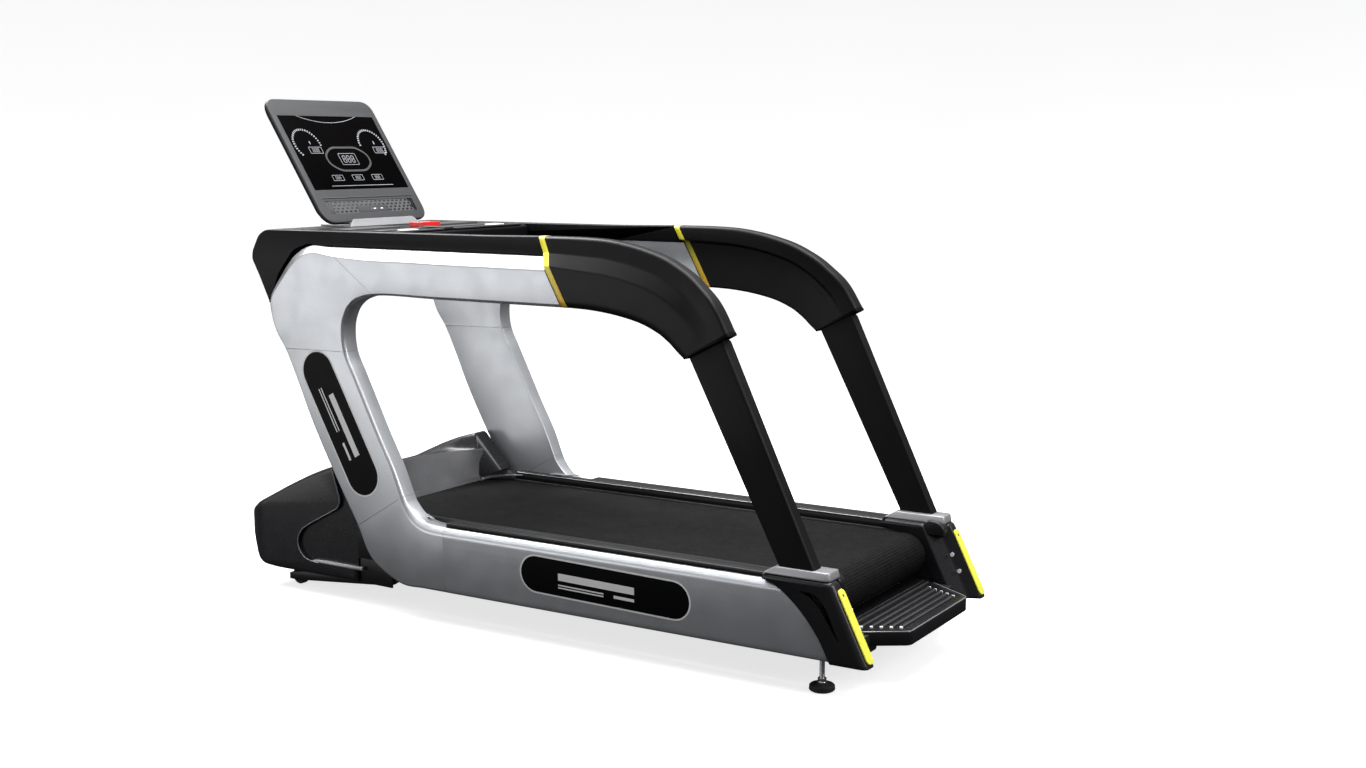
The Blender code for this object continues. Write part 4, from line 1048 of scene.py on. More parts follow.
def motor_hood():
    """Gloss hood: two wings beside the uprights, a low middle, hollow and open underneath."""
    hood = loft("motor_hood_skin", [hood_loop(x, depth) for x, depth in hood_stations()], HOOD_BLACK,
                sharp=50.0)
    carve(hood, hood_cavity())
    low_rear = [(0.50, 0.03), (0.690, 0.03), (0.690, 0.2880), (0.50, 0.2880)]
    carve(hood, slab("hood_rear", low_rear, "X", -0.3305, 0.3305, 0.0, HOOD_BLACK))
    recess = [(0.540, 0.109), (0.835, 0.109), (0.886, 0.114), (0.914, 0.140), (0.924, 0.173), (0.902, 0.215),
              (0.831, 0.254), (0.737, 0.303), (0.727, 0.330), (0.758, 0.425), (0.775, 0.480), (0.540, 0.480)]
    cuts = (0.002, 0.004, 0.024, 0.018, 0.018, 0.028, 0.010, 0.016, 0.016, 0.010, 0.004, 0.004)
    outline = rounded(recess, cuts, 4)
    for side, word in SIDES:
        hood_flank(hood, side, word, outline)
    put(hood, "frame", "hood_black", "motor_hood")


KICK_SECTION = (                 # share of the wall's slope, distance out, distance down
    (0.0, 0.004, 0.0), (0.13, 0.0035, 0.0), (0.145, 0.0005, 0.0), (0.16, 0.0, 0.0), (0.5, 0.0, 0.0),
    (0.95, 0.0, 0.0), (0.985, -0.0008, 0.0), (1.0, -0.003, 0.0), (1.0, -0.0055, 0.001),
    (0.98, -0.0060, 0.002), (0.5, -0.0035, 0.001), (0.0, -0.0030, 0.0))


def kick_wall():
    """Textured wall between the wings, bowed in plan, with a step along its foot."""
    loops = []
    for x in np.linspace(-WALL_HALF, WALL_HALF, 41):
        run = wall_head(x) - WALL_FOOT
        loops.append([(x, WALL_FOOT + run * share - out, WALL_LOW + (WALL_HIGH - WALL_LOW) * share - drop)
                      for share, out, drop in KICK_SECTION])
    wall = loft("hood_rear_wall_skin", loops, WALL_GREY, sharp=30.0)
    put(wall, "frame", "panel_charcoal", "hood_rear_wall")
    for side, word in SIDES:
        hood_shoulder(side, word)
        hood_foot_highlight(side, word)


def hood_shoulder(side, word):
    """Rounded shoulder that carries the kick wall round into the wing."""
    plan = smooth_line([(0.2835, 0.6575), (0.3120, 0.6450), (0.3330, 0.6180), (0.3450, 0.5750)], 22)
    section = [(0.0085, 0.0), (-0.0035, 0.0), (-0.0040, 0.050), (-0.0005, 0.110), (0.0, 0.40), (0.0, 0.90),
               (0.0015, 0.97), (0.0050, 1.0), (0.0085, 1.0)]
    loops = []
    for k, (x, y) in enumerate(plan):
        t = k / (len(plan) - 1)
        height = WALL_HIGH - 0.0005 - 0.087 * t * t * (3 - 2 * t) - WALL_LOW
        loops.append([(side * (x + out * t), y + out * (1 - t), WALL_LOW + height * share)
                      for out, share in section])
    put(loft("hood_shoulder_" + word, loops, WALL_GREY, sharp=40.0), "frame", "panel_charcoal")


def hood_foot_highlight(side, word):
    """Pale curved bead at the shoulder's foot, round the belt's corner: it stands for a glossy corner fillet,
    and its pale colour is a painted highlight.
    """
    path = smooth_line([(0.268, 0.6535, 0.297), (0.300, 0.6465, 0.299), (0.3260, 0.6200, 0.302),
                        (0.3400, 0.5800, 0.306), (0.3462, 0.5300, 0.310)], 26)
    loops = []
    for k, (x, y, z) in enumerate(path):
        t = k / (len(path) - 1)
        ring = circle((0.0, 0.0), 0.0060 - 0.0035 * t, 12)
        loops.append([(side * (x + u * t), y + u * (1 - t), z + v) for u, v in ring])
    put(loft("hood_foot_highlight_" + word, loops, SHEEN_GREY, sharp=60.0), "frame", "bracket_silver")


# Running belt, deck sides and rear step
ROLLER_Z = 0.227
BELT_RADIUS = 0.065
BELT_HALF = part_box("running_belt")[1].x
BELT_RIBS = 400
REAR_ROLLER_Y, FRONT_ROLLER_Y = -0.949, 0.745


def belt_arc(centre_y, angle):
    """Point of the belt on a roller, and its outward direction."""
    out_y, out_z = math.cos(angle), math.sin(angle)
    return (centre_y + BELT_RADIUS * out_y, ROLLER_Z + BELT_RADIUS * out_z, out_y, out_z)


def belt_path():
    """Points once round the belt, four for each rib, and their outward directions."""
    straight = FRONT_ROLLER_Y - REAR_ROLLER_Y
    turn = math.pi * BELT_RADIUS
    total = 2 * (straight + turn)
    places = []
    for k in range(BELT_RIBS * 4):
        s = total * k / (BELT_RIBS * 4)
        if s < straight:
            places.append((FRONT_ROLLER_Y - s, ROLLER_Z + BELT_RADIUS, 0.0, 1.0))
        elif s < straight + turn:
            places.append(belt_arc(REAR_ROLLER_Y, math.pi / 2 + (s - straight) / BELT_RADIUS))
        elif s < 2 * straight + turn:
            places.append((REAR_ROLLER_Y + s - straight - turn, ROLLER_Z - BELT_RADIUS, 0.0, -1.0))
        else:
            places.append(belt_arc(FRONT_ROLLER_Y, (s - 2 * straight - turn) / BELT_RADIUS - math.pi / 2))
    return places


def belt_loop(x, depth, groove):
    """One closed line round the belt: two steps of every four are sunk into a groove."""
    loop = []
    for k, (y, z, out_y, out_z) in enumerate(belt_path()):
        sink = depth + (groove if k % 4 < 2 else 0.0)
        loop.append((x, y - out_y * sink, z - out_z * sink))
    return loop


def running_belt():
    """Endless belt with fine cross ribs and plain, slightly paler edges."""
    spans = [(-BELT_HALF, 0.0010, 0.0), (-BELT_HALF + 0.0008, 0.0002, 0.0),
             (-BELT_HALF + 0.0060, 0.0002, 0.0), (-BELT_HALF + 0.0070, 0.0, 0.0013)]
    spans += [(-x, depth, groove) for x, depth, groove in reversed(spans)]
    loops = [belt_loop(x, depth, groove) for x, depth, groove in spans]
    inner = [belt_loop(x, 0.003, 0.0) for x, _, _ in spans]
    put(loft("running_belt_skin", loops, BELT, inner), "frame", "belt_black", "running_belt")


def foot_rail(side, word):
    """Moulded side step with two shallow grooves and a pale line along the belt, a painted highlight of its
    rounded inner edge.
    """
    low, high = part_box("foot_rail_" + word)
    top, front = high.z, high.y
    outer = [(0.3460, low.z), (0.3460, 0.3075), (0.3505, top - 0.001), (0.3640, top), (0.3650, top - 0.0012),
             (0.3665, top - 0.0012), (0.3675, top), (0.3925, top), (0.3935, top - 0.0012),
             (0.3950, top - 0.0012), (0.3960, top), (0.4080, top), (0.4120, top - 0.004), (0.4120, 0.3110),
             (0.3662, 0.3110), (0.3662, low.z)]
    cuts = (0.001, 0.002, 0.003) + (0.0004,) * 8 + (0.002, 0.002, 0.001, 0.001, 0.001)
    section = rounded(outer, cuts, 2)
    wide_end = PANEL_FRONT - 0.002
    wide = loft("foot_rail_skin_" + word,
                [[(side * x, y, z) for x, z in section] for y in (low.y, low.y + 0.3, wide_end)],
                RAIL_BLACK, sharp=40.0)
    slim = [(0.3460, low.z), (0.3460, 0.3075), (0.3505, top - 0.001), (0.3668, top), (0.3668, low.z)]
    slim_section = rounded(slim, (0.001, 0.002, 0.003, 0.0008, 0.001), 3)
    slim_places = [(wide_end + 0.0004, 0.0), (front - 0.02, 0.0), (front, 0.004)]
    thin = loft("foot_rail_front_" + word, [[(side * x, y, z - drop * (z > 0.31)) for x, z in slim_section]
                                            for y, drop in slim_places], RAIL_BLACK, sharp=40.0)
    put(wide, "frame", "panel_charcoal", "foot_rail_" + word)
    put(thin, "frame", "panel_charcoal")
    # Pale wire on the inner top edge: a painted highlight of the rail's rounded edge.
    edge_highlight_line = [(side * 0.3480, y, 0.3188) for y in np.linspace(low.y + 0.002, front - 0.004, 12)]
    put(tube("foot_rail_edge_highlight_line_" + word, edge_highlight_line, 0.0013, SILVER_AND_HIGHLIGHT), "frame", "bracket_silver")


STEP_EDGE = [(-0.3100, -1.0300), (0.3100, -1.0300), (0.2850, -1.0750), (0.2080, -1.1930), (0.1950, REAR),
             (-0.1950, REAR), (-0.2080, -1.1930), (-0.2850, -1.0750)]
STEP_CUTS = (0.006, 0.006, 0.020, 0.012, 0.008, 0.008, 0.012, 0.020)
STEP_LOW, STEP_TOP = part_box("rear_step")[0].z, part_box("rear_step")[1].z
TREAD = STEP_TOP - 0.003
STEP_RIBS = [(-1.066 - i * 0.0240, 0.236 - i * 0.0130) for i in range(5)]        # Y and half length


def step_body():
    """Hollow shell of the step with a sunk field in its tread."""
    body = slab("rear_step_skin", rounded(STEP_EDGE, STEP_CUTS, 5), "Z", STEP_LOW, TREAD, 0.004, CAP_BLACK, 4)
    hollow = rounded([tuple(p) for p in inset(STEP_EDGE, 0.006)], STEP_CUTS, 5)
    carve(body, slab("step_hollow", hollow, "Z", STEP_LOW - 0.02, TREAD - 0.004, 0.0, CAP_BLACK))
    field = [(-0.2700, -1.0480), (0.2700, -1.0480), (0.2540, -1.0740), (0.1960, -1.1820), (-0.1960, -1.1820),
             (-0.2540, -1.0740)]
    carve(body, slab("step_field", rounded(field, 0.006, 4), "Z", TREAD - 0.0012, TREAD + 0.01, 0.0,
                     CAP_BLACK))
    put(body, "frame", "black_plastic", "rear_step")


def step_tread():
    """Ribs with a bright dot at each end, a painted highlight of the rib's rounded end, and a bright line
    round them, a painted highlight of the tread's rounded rim.
    """
    ribs, rib_end_highlights = [], []
    for y, half in STEP_RIBS:
        ribs.append(block("step_rib", (-half, y - 0.0046, TREAD - 0.002), (half, y + 0.0046, STEP_TOP),
                          0.0018, RIB_GREY, 3))
    ribs.append(block("step_front_rib", (-0.290, -1.042, TREAD - 0.002), (0.290, -1.035, STEP_TOP), 0.0015,
                      RIB_GREY, 3))
    put(join("step_ribs", ribs), "frame", "panel_charcoal")
    # White dots at the rib ends: painted highlights.
    rib_end_highlight = [(TREAD - 0.0015, 0.0050), (STEP_TOP - 0.0008, 0.0048), (STEP_TOP, 0.0030)]
    for y, half in STEP_RIBS:
        for side, _ in SIDES:
            rib_end_highlights.append(turned("step_rib_end_highlight", (side * half, y), rib_end_highlight, WHITE, "Z", 16))
    put(join("step_rib_end_highlights", rib_end_highlights), "frame", "chrome")
    # Pale wire round the tread's rim: a painted highlight of its rounded edge.
    edge = inset(rounded(STEP_EDGE, STEP_CUTS, 5), 0.0024)
    rim = [(x, y, TREAD - 0.0012) for x, y in edge if y < -1.045]
    rim.sort(key=lambda p: math.atan2(p[0], -(p[1] + 0.9)))
    put(tube("step_rim_highlight", rim, 0.0017, SILVER_AND_HIGHLIGHT), "frame", "bracket_silver")


def step_apron():
    """Apron between the step and the belt, with a fine grey line on it, a painted highlight along its edge by
    the step, and the brackets that carry the step.
    """
    apron = [(-1.029, 0.104), (-1.029, 0.1535), (-1.016, 0.1565), (-0.985, 0.1580), (-0.965, 0.1570),
             (-0.965, 0.104)]
    cross = slab("step_apron", rounded(apron, 0.003, 3), "X", -0.322, 0.322, 0.001, CAP_BLACK)
    put(cross, "frame", "black_plastic")
    # Grey wire along the apron's top: a painted highlight of its edge.
    line = tube("apron_edge_highlight", [(-0.300, -1.018, 0.1572), (0.300, -1.018, 0.1572)], 0.0010, PLATE_GREY)
    put(line, "frame", "panel_charcoal")
    for side, word in SIDES:
        bracket = block("step_bracket_" + word, (side * 0.215, -1.105, 0.096), (side * 0.322, -1.031, 0.1500),
                        0.004, STEEL_BLACK)
        put(bracket, "frame", "steel_black")


def rear_step():
    """Step between the end caps: ribbed tread with a painted highlight along its rim, over a dark skirt."""
    step_body()
    step_tread()
    step_apron()


# Console
def face_outline():
    """Outline of the console's face, in its own plane."""
    corners = [(-CONSOLE_HALF, 0.0), (CONSOLE_HALF, 0.0), (CONSOLE_HALF, CONSOLE_HEIGHT),
               (-CONSOLE_HALF, CONSOLE_HEIGHT)]
    return rounded(corners, CONSOLE_CORNER * 1.15, 10)


def face_box(name, u0, v0, u1, v1, front, back, edge, surface, corner=None, steps=2):
    """Plate in the console's face, from (u0, v0) to (u1, v1)."""
    corners = [(u0, v0), (u1, v0), (u1, v1), (u0, v1)]
    outline = rounded(corners, corner if corner is not None else edge * 1.2, 4)
    return slab(name, outline, "Y", front, back, edge, surface, steps)


def console_bezel():
    """Grey face of the console, with its window, the sunk grille and the groove between them."""
    bezel = slab("console_bezel_skin", face_outline(), "Y", 0.0, 0.012, 0.0045, BEZEL_GREY, 5)
    cuts = ((-SCREEN_HALF, SCREEN_LOW, SCREEN_HALF, SCREEN_HIGH, -0.01, 0.03, 0.0, BEZEL_GREY, 0.003),
            (-GRILLE_HALF, GRILLE_LOW, GRILLE_HALF, GRILLE_HIGH, -0.01, 0.0026, 0.0, BEZEL_GREY, 0.006),
            (-0.222, 0.0905, 0.222, 0.0930, -0.01, 0.0022, 0.0, BEZEL_GREY, 0.001))
    for cut in cuts:
        carve(bezel, face_box("cut", *cut))
    put(lean_back(bezel), "frame", "bezel_grey", "console_bezel")
    lip = face_box("console_lip", -0.226, 0.0933, 0.226, 0.0955, -0.0006, 0.0004, 0.0004, GRILLE_GREY)
    put(lean_back(lip), "frame", "panel_charcoal")


PITCH_U, PITCH_V = 0.0215, 0.0118               # the grille's holes: spacing, then half sizes
HOLE_U, HOLE_V = 0.0070, 0.0040
PLATE_FRONT, PLATE_BACK = 0.0008, 0.0022


def grille_cell(mesh, cu, cv):
    """One rectangle of the perforated plate, round a slanted oval hole."""
    layers = []
    for depth in (PLATE_FRONT, PLATE_BACK):
        ring, rim = [], []
        for k in range(8):
            a = math.pi / 4 * k
            reach = 0.5 / max(abs(math.cos(a)), abs(math.sin(a)))
            slant = 0.35 * HOLE_V * math.sin(a)
            ring.append(mesh.verts.new((cu + HOLE_U * math.cos(a) + slant, depth, cv + HOLE_V * math.sin(a))))
            rim.append(mesh.verts.new((cu + PITCH_U * reach * math.cos(a), depth,
                                       cv + PITCH_V * reach * math.sin(a))))
        layers.append((ring, rim))
    for k in range(8):
        j = (k + 1) % 8
        for ring, rim in layers:
            mesh.faces.new((rim[k], rim[j], ring[j], ring[k]))
        front, back = layers[0][0], layers[1][0]
        mesh.faces.new((front[k], front[j], back[j], back[k]))


def speaker_grille():
    """Perforated plate over dark cloth: every second row of holes is shifted by half a pitch."""
    rows = int((GRILLE_HIGH - GRILLE_LOW - 0.001) / PITCH_V)
    half_count = int((GRILLE_HALF - 0.002) / PITCH_U)
    mesh = bmesh.new()
    for row in range(rows):
        cv = GRILLE_LOW + 0.0005 + PITCH_V * (row + 0.5)
        shift = 0.0 if row % 2 else PITCH_U / 2
        for k in range(-half_count, half_count):
            grille_cell(mesh, PITCH_U * (k + 0.5) + shift - PITCH_U / 4, cv)
    bmesh.ops.remove_doubles(mesh, verts=mesh.verts, dist=1e-5)
    border = [e for e in mesh.edges if len(e.link_faces) == 1]
    bmesh.ops.bridge_loops(mesh, edges=border)
    plate = add("speaker_grille", mesh, GRILLE_GREY, 30.0)
    put(lean_back(plate), "frame", "panel_charcoal")
    cloth = face_box("grille_cloth", -GRILLE_HALF + 0.001, GRILLE_LOW + 0.001, GRILLE_HALF - 0.001,
                     GRILLE_HIGH - 0.001, 0.0021, 0.0026, 0.0001, DEEP_BLACK_AND_SHADE)
    put(lean_back(cloth), "frame", "black_plastic")
    port_panel()


def port_panel():
    """Small plate in the grille with two sockets."""
    port = face_box("port_panel", -0.074, 0.0355, 0.074, 0.0610, 0.0002, 0.0016, 0.0006, BEZEL_GREY,
                    0.004, 3)
    for u0, u1 in ((-0.012, 0.020), (0.032, 0.052)):
        carve(port, face_box("port_slot", u0, 0.0440, u1, 0.0525, -0.01, 0.0010, 0.0, DEEP_BLACK_AND_SHADE, 0.0015))
    put(lean_back(port), "frame", "bezel_grey")
    marks = [face_box("port_mark", u, 0.0462, u + 0.010, 0.0500, 0.0004, 0.0011, 0.0002, WHITE)
             for u in (0.002, 0.037)]
    put(lean_back(join("port_marks", marks)), "frame", "key_white")


def screen():
    """Dark display glass, set into the bezel's window."""
    glass = face_box("screen_glass_skin", -SCREEN_HALF + 0.0005, SCREEN_LOW + 0.0005, SCREEN_HALF - 0.0005,
                     SCREEN_HIGH - 0.0005, 0.0008, 0.0115, 0.0006, SCREEN_BLACK, 0.003, 3)
    put(lean_back(glass), "frame", "screen_glass", "screen_glass")


INK_FRONT, INK_BACK = 0.00055, 0.0012


def ink_box(u, v, width, height, corner=0.0004):
    """Lit bar of the display, centred on (u, v)."""
    return face_box("ink", u - width / 2, v - height / 2, u + width / 2, v + height / 2, INK_FRONT, INK_BACK,
                    0.00008, SCREEN_INK, corner, 1)


def ink_plate(outline):
    """The two faces of a lit mark: its outline at its front and at its back."""
    return [[(p[0], y, p[1]) for p in outline] for y in (INK_FRONT, INK_BACK)]


def ink_band(outer, inner, surface=SCREEN_INK):
    """Closed band between two outlines of equal length."""
    return loft("ink", ink_plate(outer), surface, ink_plate(inner))


def ink_frame(u, v, width, height, line, corner):
    """Outline of a rounded box."""
    corners = [(u - width / 2, v - height / 2), (u + width / 2, v - height / 2),
               (u + width / 2, v + height / 2), (u - width / 2, v + height / 2)]
    outer = rounded(corners, corner, 6)
    return ink_band(outer, inset(outer, line))


def ink_arc(u, v, radius, start, end, line):
    """Thin curved band, angles in degrees."""
    mesh = bmesh.new()
    rows = []
    for k in range(41):
        a = math.radians(start + (end - start) * k / 40)
        rows.append([mesh.verts.new((u + r * math.cos(a), y, v + r * math.sin(a)))
                     for r, y in ((radius - line, INK_FRONT), (radius, INK_FRONT), (radius, INK_BACK),
                                  (radius - line, INK_BACK))])
    for one, two in zip(rows, rows[1:]):
        for i in range(4):
            j = (i + 1) % 4
            mesh.faces.new((one[i], one[j], two[j], two[i]))
    mesh.faces.new(rows[0])
    mesh.faces.new(rows[-1])
    return add("ink", mesh, SCREEN_INK)


def ink_tick(u, v, radius, angle, length, width):
    """Short bar that points out from a dial's centre."""
    a = math.radians(angle)
    out, across = Vector((math.cos(a), math.sin(a))), Vector((-math.sin(a), math.cos(a)))
    centre = Vector((u, v))
    corners = []
    for reach, shift in ((0, -1), (1, -1), (1, 1), (0, 1)):
        corners.append(tuple(centre + out * (radius + length * reach) + across * (width / 2 * shift)))
    return loft("ink", ink_plate(corners), SCREEN_INK)


SEGMENTS = ((0, 1, True), (0, 0, True), (0, -1, True),          # place in the digit, and whether it lies flat
            (-1, 0.5, False), (1, 0.5, False), (-1, -0.5, False), (1, -0.5, False))


def ink_digits(u, v, height, count):
    """Row of figure eights, like a lit number display."""
    made = []
    half_w, half_h = height * 0.22, height * 0.46
    stroke = height * 0.085
    for k in range(count):
        cu = u + (k - (count - 1) / 2) * height * 0.72
        for du, dv, flat in SEGMENTS:
            size = (half_w * 1.7, stroke) if flat else (stroke, half_h * 0.8)
            made.append(ink_box(cu + du * half_w, v + dv * half_h, *size, stroke * 0.2))
    return made


def screen_graphics():
    """Generic display page: two tick dials, a central readout and three small boxes."""
    pieces = []
    for side in (-1, 1):
        u, v = side * 0.156, 0.304
        first, last = (222, -2) if side < 0 else (182, -42)
        for k in range(26):
            angle = first + (last - first) * k / 25
            pieces.append(ink_tick(u, v, 0.0560, angle, 0.0075, 0.0046))
        pieces.append(ink_frame(u + 0.026, v - 0.022, 0.060, 0.026, 0.0016, 0.003))
        pieces += ink_digits(u + 0.026, v - 0.022, 0.016, 3)
        pieces.append(ink_box(u + 0.014, v + 0.008, 0.004, 0.012))
    pieces.append(ink_frame(0.004, 0.246, 0.082, 0.046, 0.0016, 0.004))
    pieces += ink_digits(0.004, 0.246, 0.028, 3)
    for u in (-0.092, 0.004, 0.100):
        pieces.append(ink_frame(u, 0.172, 0.052, 0.022, 0.0014, 0.003))
        pieces += ink_digits(u, 0.172, 0.012, 3)
    pieces.append(ink_box(0.010, 0.1405, 0.300, 0.0018))
    pieces.append(ink_arc(0.0, 0.790, 0.398, 239, 301, 0.0016))
    put(lean_back(join("screen_graphics", pieces)), "frame", "key_white")
    corners = [(-0.062, -0.050), (0.062, -0.050), (0.106, -0.020), (0.106, 0.020), (0.062, 0.050),
               (-0.062, 0.050), (-0.106, 0.020), (-0.106, -0.020)]
    ring = rounded([(u + 0.004, v + 0.246) for u, v in corners], 0.022, 5)
    oval = ink_band(ring, inset(ring, 0.0075), FADED_INK)
    oval.name = "screen_ring"
    put(lean_back(oval), "frame", "bezel_grey")


def shell_depth(v):
    """How far the back shell stands out at a height along the face."""
    heights = (0.0, 0.060, 0.160, 0.330, 0.450, CONSOLE_HEIGHT)
    depths = (0.016, 0.043, 0.050, 0.050, 0.040, 0.028)
    return float(np.interp(v, heights, depths))


def console_shell():
    """Domed back shell with a row of cooling slots, drawn as dark bars on its surface in painted shade."""
    outline = np.array(face_outline())
    middle = np.array((0.0, CONSOLE_HEIGHT * 0.5))
    seam = 0.0123
    loops = []
    for scale in (1.0, 0.997, 0.99, 0.975, 0.95, 0.915, 0.87, 0.80, 0.70, 0.55, 0.35, 0.12, 0.01):
        swell = (1 - scale ** 7) ** 0.55
        ring = middle + (outline - middle) * scale
        loops.append([(u, seam + (shell_depth(v) - seam) * swell, v) for u, v in ring])
    shell = loft("console_shell_skin", loops, SHELL_BLACK, sharp=60.0)
    put(lean_back(shell), "frame", "black_plastic", "console_shell")
    # Dark bars level with the shell: painted shade where the cooling slots open.
    slot_shade_bars = [face_box("slot", -0.110, v, 0.110, v + 0.004, 0.0488, 0.0506, 0.0008, DEEP_BLACK_AND_SHADE, 0.0018)
            for v in np.linspace(0.200, 0.300, 8)]
    put(lean_back(join("shell_slot_shade", slot_shade_bars)), "frame", "black_plastic")


def console_bracket():
    """Cast bracket behind the console, and the pale plate along the console's foot."""
    bracket = refine("console_bracket_skin", "console_bracket", SILVER_AND_HIGHLIGHT, 0.0015)
    put(bracket, "frame", "bracket_silver", "console_bracket")
    lip = rounded([(-0.174, 1.1985), (0.174, 1.1985), (0.147, 1.2230), (-0.147, 1.2230)],
                  (0.004, 0.004, 0.006, 0.006))
    plate = slab("console_lip_plate", lip, "Y", 0.0, 0.0035, 0.001, SHEEN_GREY)
    for vertex in plate.data.vertices:
        vertex.co.y += 0.824 + (vertex.co.z - 1.1985) * 0.45
    put(plate, "frame", "bracket_silver")


def console_tray():
    """Cross beam that carries the console, with raised plates and key wells on its top."""
    corners = [(0.490, 1.1500), (0.490, 1.1890), (0.505, 1.1960), (0.985, BAND_TOP), (1.018, 1.178),
               (1.047, 1.126), (1.050, 1.100), (1.020, 1.047), (0.976, 0.959), (0.950, 0.975), (0.960, 1.060),
               (0.900, 1.120), (0.620, 1.140)]
    cuts = (0.006, 0.005, 0.008, 0.022, 0.014, 0.010, 0.010, 0.012, 0.003, 0.008, 0.020, 0.030, 0.020)
    tray = slab("console_tray_skin", rounded(corners, cuts, 5), "X", -0.3445, 0.3445, 0.001, BAND_BLACK, 2)
    wells = [((-0.069, 0.608), (0.069, 0.666))]
    wells += [((side * 0.220 - 0.031, 0.516), (side * 0.220 + 0.031, 0.558)) for side, _ in SIDES]
    for low, high in wells:
        carve(tray, block("well", (*low, 1.180), (*high, 1.30), 0.0, BAND_BLACK))
    put(tray, "frame", "black_plastic", "console_tray")
    plates = []
    for low, high in (((-0.318, 0.560), (-0.095, 0.600)), ((-0.040, 0.560), (0.318, 0.600)),
                      ((-0.318, 0.494), (-0.095, 0.514)), ((-0.040, 0.494), (0.318, 0.514)),
                      ((-0.318, 0.690), (-0.085, 0.780)), ((0.085, 0.690), (0.318, 0.780))):
        plates.append(block("plate", (*low, 1.195), (*high, 1.2000), 0.0012, PLATE_GREY, 3))
    put(join("tray_plates", plates), "frame", "panel_charcoal")
    raised = block("tray_block", (-0.090, 0.496, 1.194), (-0.046, 0.604, 1.2035), 0.002, DEEP_BLACK_AND_SHADE, 3)
    put(raised, "frame", "black_plastic")


def keys():
    """Red stop key with a white mark, and the two white keys."""
    low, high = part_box("stop_key")
    red = block("stop_key_skin", tuple(low), (0.024, high.y, high.z + 0.010), 0.0022, RED, 4)
    put(red, "stop_key", "key_red", "stop_key")
    bar = block("stop_key_mark", (-0.045, 0.635, high.z + 0.0096), (0.002, 0.639, high.z + 0.0103), 0.0002,
                WHITE)
    put(bar, "stop_key", "key_white")
    for _, word in SIDES:
        low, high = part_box("console_key_" + word)
        cap = block("console_key_skin_" + word, tuple(low), tuple(high), 0.003, WHITE, 4)
        put(cap, "console_key_" + word, "key_white", "console_key_" + word)


# Running gear
def lathe(name, node_name, body, slot_name, centre, profile, surface, axis="X", count=64):
    """Body of revolution that stands for a CAD node."""
    put(turned(name, centre, profile, surface, axis, count), body, slot_name, node_name)


def rollers():
    """Steel rollers with recessed ends and stub axles; the front one carries a grooved pulley."""
    rim = 0.0615
    left_end = [(-0.322, 0.0100), (-0.322, 0.050), (-0.3195, 0.0515), (-0.3195, 0.0600), (-0.3180, rim),
                (0.3180, rim), (0.3195, 0.0600)]
    lathe("rear_roller_skin", "rear_roller", "rear_roller", "roller_steel", (REAR_ROLLER_Y, ROLLER_Z),
          [(-0.3362, 0.0095), (-0.3357, 0.0100)] + left_end
          + [(0.3195, 0.0515), (0.322, 0.050), (0.322, 0.0100), (0.3357, 0.0100), (0.3362, 0.0095)],
          TURNED_STEEL)
    pulley = [(0.3210, 0.0500), (0.322, 0.045), (0.3265, 0.045)]
    pulley += [(0.3265 + 0.0105 * k / 12, 0.0448 - 0.0010 * (k % 2)) for k in range(1, 12)]
    lathe("front_roller_skin", "front_roller", "front_roller", "roller_steel", (FRONT_ROLLER_Y, ROLLER_Z),
          [(-0.3402, 0.0095), (-0.3397, 0.0100)] + left_end + pulley
          + [(0.338, 0.0445), (0.338, 0.0100), (0.3397, 0.0100), (0.3402, 0.0095)], TURNED_STEEL)
    for name, y in (("rear_roller", REAR_ROLLER_Y), ("front_roller", FRONT_ROLLER_Y)):
        bolts = [turned("bolt", p, [(-0.3240, 0.0030), (-0.3236, 0.0042), (-0.3215, 0.0042)], IRON, "X", 18)
                 for p in circle((y, ROLLER_Z), 0.034, 3)]
        put(join(name + "_bolts", bolts), name, "roller_steel")


def motor():
    """Ribbed drive motor on its foot, with a flywheel and a grooved pulley on its shaft."""
    centre = (0.935, 0.165)
    ribs = [(0.060 + 0.180 * k / 36, 0.0595 if k % 2 else 0.0565) for k in range(37)]
    lathe("drive_motor_skin", "drive_motor", "frame", "motor_grey", centre,
          [(0.030, 0.028), (0.031, 0.044), (0.040, 0.0590), (0.052, 0.0600)] + ribs
          + [(0.250, 0.0600), (0.270, 0.0590), (0.282, 0.040), (0.283, 0.024)], MOTOR_GREY)
    foot = block("motor_foot", (0.060, 0.890, 0.0845), (0.250, 0.980, 0.118), 0.002, STEEL_BLACK)
    put(foot, "frame", "steel_black")
    groove = [(0.3265 + 0.0110 * k / 12, 0.0248 - 0.0010 * (k % 2)) for k in range(1, 12)]
    lathe("motor_flywheel_skin", "motor_flywheel", "motor_rotor", "flywheel_iron", centre,
          [(0.2840, 0.011), (0.2845, 0.012), (0.2900, 0.012), (0.2900, 0.070), (0.2915, 0.072),
           (0.3165, 0.072), (0.3180, 0.070), (0.3180, 0.062), (0.3150, 0.060), (0.3150, 0.026),
           (0.3180, 0.022), (0.326, 0.020),
           (0.3262, 0.0248)] + groove + [(0.338, 0.0245), (0.338, 0.006), (0.337, 0.002)], IRON)
    # Dark discs on the flywheel's face: painted shade standing in for its holes.
    hole_shade = [(0.3146, 0.009), (0.3156, 0.0090), (0.3158, 0.0082)]
    hole_shades = [turned("hole", p, hole_shade, DEEP_BLACK_AND_SHADE, "X", 24) for p in circle(centre, 0.043, 6)]
    put(join("flywheel_hole_shade", hole_shades), "motor_rotor", "flywheel_iron")


